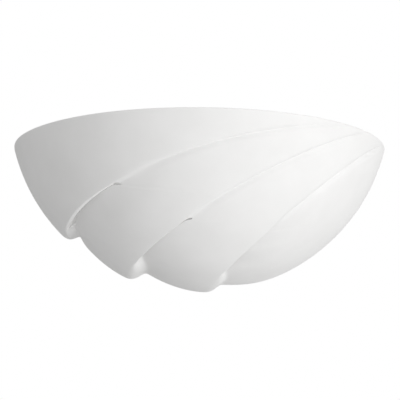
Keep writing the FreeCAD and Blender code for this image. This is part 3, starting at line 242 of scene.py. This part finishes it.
for subpart in frame["record"]["subparts"]:
    mesh = nodes[subpart["node"]].data
    mesh.materials.clear()
    mesh.materials.append(MATERIALS[subpart["material_slot"]])

# ---------------------------------------------------------------- ceramic bowl
# The bowl is a ball centred in the wall plane above the rim. A point on it is found from its
# distance x off the middle and its tilt: the angle of the half-plane through the rim's back
# edge, 0 in the rim plane and 90 degrees in the wall plane. Three creases, each cut by a
# plane, part it into four lobes that overlap like roof tiles. All lengths are millimetres.

MM = 0.001
HALF_WIDTH = 180
SHELL_HEIGHT = 139
RIM_HEIGHT = 60
THICKNESS = 5
BALL_RADIUS = (HALF_WIDTH ** 2 + SHELL_HEIGHT ** 2) / (2 * SHELL_HEIGHT)
BALL_RISE = BALL_RADIUS - SHELL_HEIGHT
BALL_MIDDLE = Vector((0, 0, RIM_HEIGHT + BALL_RISE))
RIM_MIDDLE = Vector((0, 0, RIM_HEIGHT))

# Across a crease. The step is narrow beside its slot and wide above and below it, and the
# section goes on for a shoulder on both sides of it.
LIP_WIDTH = 2.5
BAND_WIDTH = 9
SHOULDER = 6
SOFT_WIDTH = 4  # a step this much wider than the lip has the soft section
RAISED_STEP = 2.5  # a step of this height has no groove left
GROOVE_DEPTH = 2.4
GROOVE_SECTION = (
    (-SHOULDER, 0), (-2.2, 0.06), (-0.9, 0.55), (0, 1), (1.9, 0.6), (3.8, 0.2), (SHOULDER, 0),
)
FOOT_DIP = (0, 0.45, 0.8, 1, 1, 0.7, 0.25)  # share of a crease's dip in each of its columns

# Across a slot.
TIP_GAP = 1.8  # place of the lower lobe's edge while the step is low
TIP_SLANT = 0.4
CLEAR_STEP = 1  # height of the step over the wall's thickness at which that edge starts to move
CLEAR_RUN = 2
LIP_FLAT = 1.5
LOWER_FLAT = 2

# Along a crease, in degrees of tilt from its slot's tip or end.
BAND_LEAD = 1
BAND_RUN = 14
FOOT_LEAD = 3
FOOT_RUN = 18
STEP_LEAD = 8
STEP_RUN = 16
BEND_RUN = 8
BEND_HOLD = 12
BEND_BACK_RUN = 10
BEND_BACK = 0.7  # share of the bend that goes back before the wall
TIP_RUN = 0.6
LEAF_HOLD = 2
LEAF_RUN = 12

# On the lobes.
RIM_FADE = 12  # depth below the rim over which the drops set in
LAST_LIP = 0.985  # furthest place of a lip, as a share of the way to the right corner
LAST_FALL = 0.3  # share of the room after the last crease in which its step runs out
FALL_POWER = 1.5
LIP_SPACING = 4
LEAST_SPREAD = 0.3  # least share of their spacing that the columns below a lip keep
ROOM_BEFORE = 0.4  # shares of the room to the next lips that a crease may take
ROOM_AFTER = 0.45

# The mesh. A crease has seven columns; its slot opens between the lip and the root of the
# lower lobe.
CREASE_COLUMNS = 7
LIP_COLUMN = 2
ROOT_COLUMN = 4
COLUMN_COUNTS = (14, 7, 7, 14)  # columns of each lobe between the creases
HALVINGS = 36
NET_PASSES = 4
CORNER_EASE = 8
RIM_SHARPNESS = 0.75
WALL_SHARPNESS = 0.8
SLOT_SHARPNESS = 0.55


def smooth(value):
    """Smooth step from 0 to 1."""
    value = min(max(value, 0), 1)
    return value * value * (3 - 2 * value)


def mix(low, high, share):
    """Value between two values, at this share of the way."""
    return low + (high - low) * share


class Crease:
    """A crease of the bowl, where an upper lobe stands proud of the next one.

    fan, lean: slope of its plane seen from the front, and lean out of square with the wall
    foot: where it meets the wall, from straight down
    step, foot_step: height of the step along the slot and at the wall
    foot_width, foot_dip: width of the step and dip of the surface at the wall
    bend: how far its lower end swings towards the lower lobe
    fade, full: tilts at which the step begins and is whole
    slot: tilts of the slot's tip and end
    slant: how far the slot's edges lie towards the upper lobe on the inner skin
    opening, gap, leaf: place of the lower lobe's edge at the slot's tip, along it and at its end
    """

    def __init__(
        self, fan, lean, foot, step, foot_step, foot_width, foot_dip, bend, fade, full, slot, slant,
        opening, gap, leaf,
    ):
        fan, lean, foot = map(math.radians, (fan, lean, foot))
        self.normal = Vector((
            math.sin(fan) * math.cos(lean),
            math.sin(lean),
            -math.cos(fan) * math.cos(lean),
        ))
        foot_point = Vector((-math.sin(foot), 0, -math.cos(foot)))
        self.reach = self.normal.dot(foot_point) * BALL_RADIUS
        self.full_step, self.foot_step = step, foot_step
        self.foot_width, self.foot_dip = foot_width, foot_dip
        self.bend = bend
        self.fade, self.full = fade, full
        self.slot = slot
        self.slant, self.opening = slant, opening
        self.gap, self.leaf = gap, leaf

    def distance(self, point, radius):
        """Distance along a ball of this radius from the crease; positive on the lower lobe."""
        direction = (point - BALL_MIDDLE) / radius
        return radius * (math.asin(direction.dot(self.normal)) - math.asin(self.reach / radius))

    def step(self, tilt):
        """Height of the step at this tilt."""
        foot_share = smooth((tilt - self.slot[1] + STEP_LEAD) / STEP_RUN)
        height = mix(self.full_step, self.foot_step, foot_share)
        return height * smooth((tilt - self.fade) / (self.full - self.fade))

    def width(self, tilt):
        """Width of the step: narrow beside the slot, wide and soft above and below it."""
        tip, end = self.slot
        above = (BAND_WIDTH - LIP_WIDTH) * smooth((tip + BAND_LEAD - tilt) / BAND_RUN)
        below = (self.foot_width - LIP_WIDTH) * smooth((tilt - end + FOOT_LEAD) / FOOT_RUN)
        return LIP_WIDTH + above + below


def ball_point(across, tilt, radius):
    """Point of the ball at this distance off the middle and this tilt."""
    angle = math.radians(tilt)
    sine, cosine = math.sin(angle), math.cos(angle)
    squared = radius ** 2 - across ** 2 - (BALL_RISE * cosine) ** 2
    reach = math.sqrt(max(squared, 0)) - BALL_RISE * sine
    return Vector((across, -reach * cosine, RIM_HEIGHT - reach * sine))


def column_at(crease, tilt, radius, distance):
    """Distance off the middle of the point this far below a crease, at one tilt."""
    low = -math.sqrt(radius ** 2 - BALL_RISE ** 2)
    high = -low
    for _ in range(HALVINGS):
        middle = (low + high) / 2
        if crease.distance(ball_point(middle, tilt, radius), radius) > distance:
            high = middle
        else:
            low = middle
    return low


def crisp_section(width):
    """Places and shares of the drop across a narrow step with tight corners."""
    places = [(-SHOULDER, 0), (-0.9, 0), (0, 0.08), (width / 2, 0.5), (width, 0.94)]
    return places + [(width + 1.2, 1), (width + SHOULDER, 1)]


def soft_section(width):
    """Places and shares of the drop across a wide step with round corners."""
    places = [(-SHOULDER, 0), (-2.5, 0.03), (0.12 * width, 0.13), (width / 2, 0.42)]
    return places + [(0.88 * width, 0.87), (width + 2.0, 0.99), (width + SHOULDER, 1)]


def slot_profile(crease, tilt, step, width, inner):
    """Places across a crease beside its slot and their drops."""
    tip, end = crease.slot
    open_tip = 1 - smooth((tilt - tip - TIP_RUN) / TIP_RUN)
    open_end = smooth(1 - (end - tilt - LEAF_HOLD) / LEAF_RUN)
    lower = mix(TIP_GAP, crease.gap, smooth((step - THICKNESS - CLEAR_STEP) / CLEAR_RUN))
    lower = mix(lower, crease.opening, open_tip)
    lower = mix(lower, crease.leaf, open_end)
    behind = -mix(crease.slant, TIP_SLANT, open_tip) if inner else 0
    places = [(-SHOULDER, 0), (behind - LIP_FLAT, 0), (behind, 0.02), (lower / 2, 0.5)]
    places += [(lower + behind, 1), (max(lower + LOWER_FLAT, width + 1), 1)]
    places.append((max(lower, width) + SHOULDER, 1))
    return [(place, step * share, 0) for place, share in places]


def crease_profile(crease, tilt, inner):
    """Places across a crease and their drops, from the upper lobe to the lower one."""
    step, width = crease.step(tilt), crease.width(tilt)
    tip, end = crease.slot
    if tip < tilt < end:
        return slot_profile(crease, tilt, step, width, inner)
    raised = smooth(step / RAISED_STEP)
    softness = smooth((width - LIP_WIDTH) / SOFT_WIDTH)
    groove = 0 if inner else GROOVE_DEPTH * (1 - raised)
    back = THICKNESS * math.tan(math.atan2(step, width) / 2) if inner else 0
    past = tilt - end
    dip = crease.foot_dip * smooth(past / (90 - end))
    aside = crease.bend * smooth(past / BEND_RUN)
    aside *= 1 - BEND_BACK * smooth((past - BEND_HOLD) / BEND_BACK_RUN)
    profile = []
    sections = zip(crisp_section(width), soft_section(width), GROOVE_SECTION, FOOT_DIP)
    for crisp, soft, (groove_place, groove_share), sunk in sections:
        place, share = mix(crisp[0], soft[0], softness), mix(crisp[1], soft[1], softness)
        spot = mix(groove_place, place, raised) - back + aside
        profile.append((spot, step * share, groove * groove_share + dip * sunk))
    return profile


def skin_row(creases, tilt, inner):
    """One row of the skin: pairs of distance off the middle and drop."""
    radius = BALL_RADIUS - (THICKNESS if inner else 0)
    edge = math.sqrt(radius ** 2 - BALL_RISE ** 2)
    profiles = [crease_profile(crease, tilt, inner) for crease in creases]
    lips, most = [], LAST_LIP * edge
    for crease in reversed(creases):
        lips.insert(0, min(column_at(crease, tilt, radius, 0), most))
        most = lips[0] - LIP_SPACING
    limits = [-edge] + lips + [edge]
    columns = [(-edge, 0)]
    fall = None
    for number, crease in enumerate(creases):
        lip = lips[number]
        profile = profiles[number]
        true_lip = column_at(crease, tilt, radius, 0)
        before, after = lip - limits[number], limits[number + 2] - lip
        spots = []
        for place, _, _ in profile:
            away = column_at(crease, tilt, radius, place) - true_lip
            if place < 0:
                spots.append(lip + max(away, ROOM_BEFORE * before * place / -profile[0][0]))
            else:
                away = max(away, LEAST_SPREAD * place)
                spots.append(lip + min(away, ROOM_AFTER * after * place / profile[-1][0]))
        shrink = min(1, ROOM_BEFORE * before / SHOULDER, ROOM_AFTER * after / SHOULDER)
        columns += between(columns[-1][0], spots[0], edge, COLUMN_COUNTS[number], fall)
        columns.append((spots[0], lobe_drop(spots[0], fall)))
        root = spots[ROOT_COLUMN]
        end = limits[number + 2] if number < len(creases) - 1 else root + LAST_FALL * after
        next_fall = (root, end, shrink * crease.step(tilt))
        for count in range(1, CREASE_COLUMNS):
            _, drop, groove = profile[count]
            if count > ROOT_COLUMN:
                drop = lobe_drop(spots[count], next_fall)
                columns.append((spots[count], drop + shrink * groove))
            else:
                upper = lobe_drop(spots[count], fall) if count <= LIP_COLUMN else 0
                columns.append((spots[count], upper + shrink * (drop + groove)))
        fall = next_fall
    columns += between(columns[-1][0], edge, edge, COLUMN_COUNTS[-1], fall)
    columns.append((edge, 0))
    return columns


def between(start, end, edge, count, fall):
    """Columns spaced evenly by angle between two distances off the middle."""
    first, last = math.asin(max(start / edge, -1)), math.asin(min(end / edge, 1))
    columns = []
    for number in range(1, count + 1):
        across = edge * math.sin(mix(first, last, number / (count + 1)))
        columns.append((across, lobe_drop(across, fall)))
    return columns


def lobe_drop(across, fall):
    """Drop of a lobe below the plain ball, falling away from its root to the next crease."""
    if fall is None:
        return 0
    root, end, step = fall
    left = 1 - (across - root) / (end - root)
    return step * min(max(left, 0), 1) ** FALL_POWER


CREASES = [
    Crease(
        fan=15.6, lean=-7.0, foot=42.8, step=10, foot_step=9.5, foot_width=5, foot_dip=2.5,
        bend=3.0, fade=11, full=44, slot=(24.5, 67), slant=1.2, opening=7.0, gap=1, leaf=4,
    ),
    Crease(
        fan=28.7, lean=-2.6, foot=20.6, step=10, foot_step=12, foot_width=11, foot_dip=0,
        bend=2.5, fade=25, full=60, slot=(36, 66), slant=2.8, opening=5.0, gap=-2, leaf=1.5,
    ),
    Crease(
        fan=39.9, lean=1.6, foot=-3.0, step=10.5, foot_step=7, foot_width=11, foot_dip=0,
        bend=3.5, fade=34, full=66, slot=(45, 68), slant=3.2, opening=3.4, gap=-2, leaf=3,
    ),
]
TIP_ROWS = (0, 0.5, 1.2, 2)
ROW_SPACING = 0.9
PLAIN_TILTS = [0, 1.2, 4, 8, 12, 16, 19] + list(range(22, 71, 2)) + [73, 77, 81, 85, 88.6, 90]


def row_tilts():
    """Tilts of the rows: plain ones, and closer ones at the tip of each slot."""
    close = [crease.slot[0] + past for crease in CREASES for past in TIP_ROWS]
    plain = [tilt for tilt in PLAIN_TILTS if all(abs(tilt - other) > ROW_SPACING for other in close)]
    return sorted(plain + close)


TILTS = row_tilts()


def averaged(row):
    """Row of points as the rounding of the mesh draws them together; its ends stay."""
    inner = [(a + b * 4 + c) / 6 for a, b, c in zip(row, row[1:], row[2:])]
    return [row[0]] + inner + [row[-1]]


def raised_net(net, radius):
    """Cage points moved out until the rounded mesh lies on the ball."""
    edge = net[0][-1].x
    cage = [[point.copy() for point in row] for row in net]
    for _ in range(NET_PASSES):
        rows = [averaged(row) for row in cage]
        drawn = list(zip(*[averaged(list(column)) for column in zip(*rows)]))
        for i, row in enumerate(net):
            for j, point in enumerate(row):
                sag = radius - (drawn[i][j] - BALL_MIDDLE).length
                sag *= smooth((edge - abs(point.x)) / CORNER_EASE)
                cage[i][j] += (point - RIM_MIDDLE).normalized() * sag
    return cage


def skin_points(inner):
    """Rows of cage points of one skin."""
    radius = BALL_RADIUS - (THICKNESS if inner else 0)
    rows = [skin_row(CREASES, tilt, inner) for tilt in TILTS]
    ball = [[ball_point(across, tilt, radius) for across, _ in row] for tilt, row in zip(TILTS, rows)]
    cage = raised_net(ball, radius)
    for i, row in enumerate(rows):
        for j, (_, drop) in enumerate(row):
            point = ball[i][j]
            drop *= smooth((RIM_HEIGHT - point.z) / RIM_FADE)
            cage[i][j] += (BALL_MIDDLE - point) * (drop / radius)
    return cage


def slot_cells():
    """Cells of the skins that the slots leave open, as row and column."""
    cells = set()
    start = 1
    for crease, count in zip(CREASES, COLUMN_COUNTS):
        start += count
        inside = [i for i, tilt in enumerate(TILTS) if crease.slot[0] < tilt < crease.slot[1]]
        for i in range(inside[0] - 1, inside[-1] + 1):
            for column in range(LIP_COLUMN, ROOT_COLUMN):
                cells.add((i, start + column))
        start += CREASE_COLUMNS
    return cells


def make_bowl(skins):
    """Bowl from its outer and inner skin, joined at the rim, the wall and round each slot."""
    rows, columns = len(TILTS), len(skins[0][0])
    points, index = [], {}
    for side, skin in enumerate(skins):
        for i in range(rows):
            for j in range(columns):
                pole = j in (0, columns - 1)
                key = (side, 0 if pole else i, j)
                if key not in index:
                    index[key] = len(points)
                    points.append(skin[i][j] * MM)

    def corner(side, i, j):
        return index[(side, 0 if j in (0, columns - 1) else i, j)]

    faces, sharp = [], {}

    def add_face(corners, turned):
        corners = list(dict.fromkeys(corners))
        faces.append(corners[::-1] if turned else corners)

    open_cells = slot_cells()
    for side in (0, 1):
        for i in range(rows - 1):
            for j in range(columns - 1):
                if (i, j) in open_cells:
                    continue
                quad = [corner(side, *spot) for spot in ((i, j), (i + 1, j), (i + 1, j + 1), (i, j + 1))]
                add_face(quad, side == 1)

    def bridge(first, second, turned, sharpness):
        quad = [corner(0, *first), corner(0, *second), corner(1, *second), corner(1, *first)]
        add_face(quad, turned)
        for side in (0, 1):
            pair = (corner(side, *first), corner(side, *second))
            sharp[tuple(sorted(pair))] = sharpness

    for j in range(columns - 1):
        bridge((0, j), (0, j + 1), False, RIM_SHARPNESS)
        bridge((rows - 1, j), (rows - 1, j + 1), True, WALL_SHARPNESS)
    for i, j in open_cells:
        for neighbour, edge, turned in (
            ((i - 1, j), ((i, j), (i, j + 1)), True),
            ((i + 1, j), ((i + 1, j), (i + 1, j + 1)), False),
            ((i, j - 1), ((i, j), (i + 1, j)), False),
            ((i, j + 1), ((i, j + 1), (i + 1, j + 1)), True),
        ):
            if neighbour not in open_cells:
                bridge(edge[0], edge[1], turned, SLOT_SHARPNESS)

    mesh = bpy.data.meshes.new("shell_bowl")
    mesh.from_pydata([tuple(point) for point in points], [], faces)
    mesh.validate()
    creases = mesh.attributes.new("crease_edge", "FLOAT", "EDGE")
    for edge in mesh.edges:
        creases.data[edge.index].value = sharp.get(tuple(sorted(edge.vertices)), 0)
    mesh.polygons.foreach_set("use_smooth", [True] * len(mesh.polygons))
    bowl = new_object("shell_bowl", mesh)
    rounding = bowl.modifiers.new("rounding", "SUBSURF")
    rounding.levels = rounding.render_levels = 2
    mesh.materials.append(MATERIALS["bisque"])
    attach(bowl, "fixture")
    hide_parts("shell")


PANEL_FRONT = -16
PANEL_BACK = -10
PANEL_TOP = 54
PANEL_FLARE = 1  # how much further out its top corners stand than the bowl's wall
PANEL_EDGE = 1.0
LEDGE_BOTTOM = 52
APERTURE = (50, -40, 36)  # half its width, its bottom and its top
APERTURE_CORNER = 5
STUD_SPACING = 124
STUD_HOLE = 3


def wall_outline(skins, plane):
    """Points in the middle of the bowl's wall where it meets a plane along the wall."""
    points = []
    for outer, inner in zip(zip(*skins[0]), zip(*skins[1])):
        column = [(first + second) / 2 for first, second in zip(outer, inner)]
        for above, below in zip(column, column[1:]):
            if above.y < plane <= below.y:
                points.append(above.lerp(below, (plane - above.y) / (below.y - above.y)))
                break
    return [(point.x, point.z) for point in points if point.z < PANEL_TOP]


def rounded_corners(half_width, bottom, top, radius, steps=6):
    """Rectangle with round corners, as points."""
    points = []
    for right, up, start in ((1, 1, 0), (-1, 1, 90), (-1, -1, 180), (1, -1, 270)):
        middle_x = right * (half_width - radius)
        middle_z = (top - radius) if up > 0 else (bottom + radius)
        for step in range(steps + 1):
            angle = math.radians(start + 90 * step / steps)
            points.append((middle_x + radius * math.cos(angle), middle_z + radius * math.sin(angle)))
    return points


def circle_points(x, z, radius, steps=32):
    """Points round a circle."""
    turn = 2 * math.pi / steps
    return [
        (x + radius * math.cos(turn * step), z + radius * math.sin(turn * step))
        for step in range(steps)
    ]


def pressed_plate(name, outlines, front, back, edge):
    """Plate in a plane along the wall, with holes and rounded edges, as a mesh."""
    curve = bpy.data.curves.new(name, "CURVE")
    curve.dimensions = "2D"
    curve.fill_mode = "BOTH"
    curve.extrude = ((back - front) / 2 - edge) * MM
    curve.bevel_depth = edge * MM
    curve.bevel_resolution = 3
    curve.offset = -edge * MM
    for outline in outlines:
        spline = curve.splines.new("POLY")
        spline.points.add(len(outline) - 1)
        for point, (x, z) in zip(spline.points, outline):
            point.co = (x * MM, z * MM, 0, 1)
        spline.use_cyclic_u = True
    drawn = new_object(name, curve)
    drawn.rotation_euler = (math.pi / 2, 0, 0)
    drawn.location = (0, (front + back) / 2 * MM, 0)
    bpy.context.view_layer.update()
    graph = bpy.context.evaluated_depsgraph_get()
    mesh = bpy.data.meshes.new_from_object(drawn.evaluated_get(graph))
    mesh.transform(drawn.matrix_world)
    bpy.data.objects.remove(drawn)
    plate = new_object(name, mesh)
    return plate


def make_panel(skins):
    """Back panel of the bowl, with the opening for the wall plate and two stud holes."""
    outline = wall_outline(skins, (PANEL_FRONT + PANEL_BACK) / 2)
    corner_x, _ = outline[-1]
    outline += [(corner_x + PANEL_FLARE, PANEL_TOP), (-corner_x - PANEL_FLARE, PANEL_TOP)]
    half_width, bottom, top = APERTURE
    outlines = [outline, rounded_corners(half_width, bottom, top, APERTURE_CORNER)]
    for side in (-1, 1):
        outlines.append(circle_points(side * STUD_SPACING / 2, 0, STUD_HOLE))
    panel = pressed_plate("shell_panel", outlines, PANEL_FRONT, PANEL_BACK, PANEL_EDGE)
    panel.data.materials.clear()
    panel.data.materials.append(MATERIALS["bisque"])
    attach(panel, "fixture")


def make_ledge():
    """Ledge that closes the recess behind the panel at the rim."""
    ends = []
    for z in (LEDGE_BOTTOM, RIM_HEIGHT):
        across = math.sqrt((BALL_RADIUS - THICKNESS / 2) ** 2 - (BALL_MIDDLE.z - z) ** 2)
        ends.append((across, z))
    points = []
    for side in (-1, 1):
        for across, z in ends:
            for y in (PANEL_FRONT, 0):
                reach = math.sqrt(across ** 2 - y ** 2)
                points.append((side * reach * MM, y * MM, z * MM))
    faces = [(0, 1, 3, 2), (4, 6, 7, 5), (0, 4, 5, 1), (2, 3, 7, 6), (0, 2, 6, 4), (1, 5, 7, 3)]
    mesh = bpy.data.meshes.new("shell_ledge")
    mesh.from_pydata(points, [], faces)
    ledge = new_object("shell_ledge", mesh)
    rounding = ledge.modifiers.new("rounding", "BEVEL")
    rounding.width = PANEL_EDGE * MM
    rounding.segments = 4
    mesh.materials.append(MATERIALS["bisque"])
    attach(ledge, "fixture")


bowl_skins = [skin_points(False), skin_points(True)]
make_bowl(bowl_skins)
make_panel(bowl_skins)
make_ledge()

# ---------------------------------------------------------------- fixed wires
# Each wire leaves a way of the terminal block straight down and enters its other end straight.

WIRE_RADIUS = 1.1
WIRE_ROUTES = {
    "live_wire": [(8, -8, 18.5), (8, -8, 4.5), (-2.6, -17.1, -17.8), (-2.6, -30.5, -32.65)],
    "neutral_wire": [(17, -8, 18.5), (17, -8, 4.5), (2.6, -17.1, -17.8), (2.6, -30.5, -32.65)],
    "earth_wire": [(26, -8, 18.5), (26, -8, 6.5), (25, -3.4, -0.8), (25, -3.4, -9.8)],
}
WIRE_SLOTS = {"live_wire": "wire_brown", "neutral_wire": "wire_blue", "earth_wire": "wire_earth"}


def make_wire(node, route):
    """Insulated wire along a smooth curve through its route."""
    name = node + "_run"
    curve = bpy.data.curves.new(name, "CURVE")
    curve.dimensions = "3D"
    curve.bevel_depth = WIRE_RADIUS * MM
    curve.bevel_resolution = 5
    curve.use_fill_caps = True
    curve.resolution_u = 16
    spline = curve.splines.new("NURBS")
    spline.points.add(len(route) - 1)
    for point, place in zip(spline.points, route):
        point.co = (*(Vector(place) * MM), 1)
    spline.order_u = 3
    spline.use_endpoint_u = True
    slot = WIRE_SLOTS[node]
    curve.materials.append(MATERIALS[slot])
    wire = new_object(name, curve)
    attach(wire, "fixture")
    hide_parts(node)


for wire_node, wire_route in WIRE_ROUTES.items():
    make_wire(wire_node, wire_route)

# ---------------------------------------------------------------- stage, light and camera

FLOOR_DEPTH = 1.65
FLOOR_REACH = 8.0
FLOOR_GLOW = 0.35


def make_floor():
    """White floor far below the bowl, with a glow that the camera alone sees."""
    corners = [
        (x * FLOOR_REACH, y * FLOOR_REACH, -FLOOR_DEPTH)
        for x, y in ((-1, -1), (1, -1), (1, 1), (-1, 1))
    ]
    mesh = bpy.data.meshes.new("floor")
    mesh.from_pydata(corners, [], [(0, 1, 2, 3)])
    floor = new_object("floor", mesh)
    material, tree, shader = new_material("floor")
    vector = coordinates(tree)
    patches = noise(tree, vector, 0.4)
    colour = ramp(tree, patches, (0.80, 0.80, 0.80), (0.82, 0.82, 0.82))
    tree.links.new(colour, shader.inputs["Base Color"])
    shader.inputs["Roughness"].default_value = 0.9
    path = tree.nodes.new("ShaderNodeLightPath")
    glow = tree.nodes.new("ShaderNodeMath")
    glow.operation = "MULTIPLY"
    glow.inputs[1].default_value = FLOOR_GLOW
    tree.links.new(path.outputs["Is Camera Ray"], glow.inputs[0])
    tree.links.new(glow.outputs["Value"], shader.inputs["Emission Strength"])
    shader.inputs["Emission Color"].default_value = (1, 1, 1, 1)
    mesh.materials.append(material)


def make_world(ambient):
    """White to the camera and in reflections, softer as a light."""
    world = bpy.data.worlds.new("studio")
    bpy.context.scene.world = world
    world.use_nodes = True
    tree = world.node_tree
    background = tree.nodes["Background"]
    path = tree.nodes.new("ShaderNodeLightPath")
    seen = path.outputs["Is Camera Ray"]
    for name in ("Is Glossy Ray", "Is Transmission Ray"):
        either = tree.nodes.new("ShaderNodeMath")
        either.operation = "MAXIMUM"
        tree.links.new(seen, either.inputs[0])
        tree.links.new(path.outputs[name], either.inputs[1])
        seen = either.outputs["Value"]
    strength = tree.nodes.new("ShaderNodeMapRange")
    strength.inputs["To Min"].default_value = ambient
    strength.inputs["To Max"].default_value = 1.0
    tree.links.new(seen, strength.inputs["Value"])
    tree.links.new(strength.outputs["Result"], background.inputs["Strength"])
    background.inputs["Color"].default_value = (1, 1, 1, 1)


def make_lamp(name, place, side, power):
    """Square area light aimed at the bowl."""
    data = bpy.data.lights.new(name, "AREA")
    data.shape = "RECTANGLE"
    data.size = side
    data.size_y = side
    data.energy = power
    lamp = new_object(name, data)
    lamp.location = place
    lamp.rotation_euler = (Vector(LIGHT_AIM) - Vector(place)).to_track_quat("-Z", "Y").to_euler()


AMBIENT = 0.475
LIGHT_AIM = (0, -0.08, 0)
# Name, place and side in metres, power in watts.
LIGHTS = (
    ("key", (2.0, -1.5, -0.7), 1.4, 32),
    ("front", (0.0, -2.6, 0.3), 1.8, 11),
    ("top", (0.0, -0.9, 2.3), 1.8, 12),
)

make_floor()
make_world(AMBIENT)
for light in LIGHTS:
    make_lamp(*light)

# The photograph looks up at the bowl from a little below it. The angles, the slide and the lens
# were fitted to it for a camera at this distance and a rim that is a half circle.
CAMERA_TARGET = Vector((0, -0.060, 0.005))
CAMERA_DISTANCE = 1.8
CAMERA_TURN = math.radians(0.19)
CAMERA_RISE = math.radians(-11.19)
CAMERA_ROLL = math.radians(0.39)
CAMERA_SLIDE = (0.00122, -0.00489)
CAMERA_LENS = 172.4


def make_camera():
    """Camera of the photograph's view."""
    back = Vector((
        math.sin(CAMERA_TURN) * math.cos(CAMERA_RISE),
        -math.cos(CAMERA_TURN) * math.cos(CAMERA_RISE),
        math.sin(CAMERA_RISE),
    ))
    level = Vector((0, 0, 1)).cross(back).normalized()
    right = level * math.cos(CAMERA_ROLL) + back.cross(level) * math.sin(CAMERA_ROLL)
    up = back.cross(right)
    data = bpy.data.cameras.new("camera")
    data.lens = CAMERA_LENS
    data.sensor_width = 36
    camera = new_object("camera", data)
    place = CAMERA_TARGET + back * CAMERA_DISTANCE
    place += right * CAMERA_SLIDE[0] + up * CAMERA_SLIDE[1]
    turned = Matrix((right, up, back)).transposed().to_4x4()
    camera.matrix_world = Matrix.Translation(place) @ turned
    bpy.context.scene.camera = camera


make_camera()
bpy.context.scene.view_settings.view_transform = "Standard"
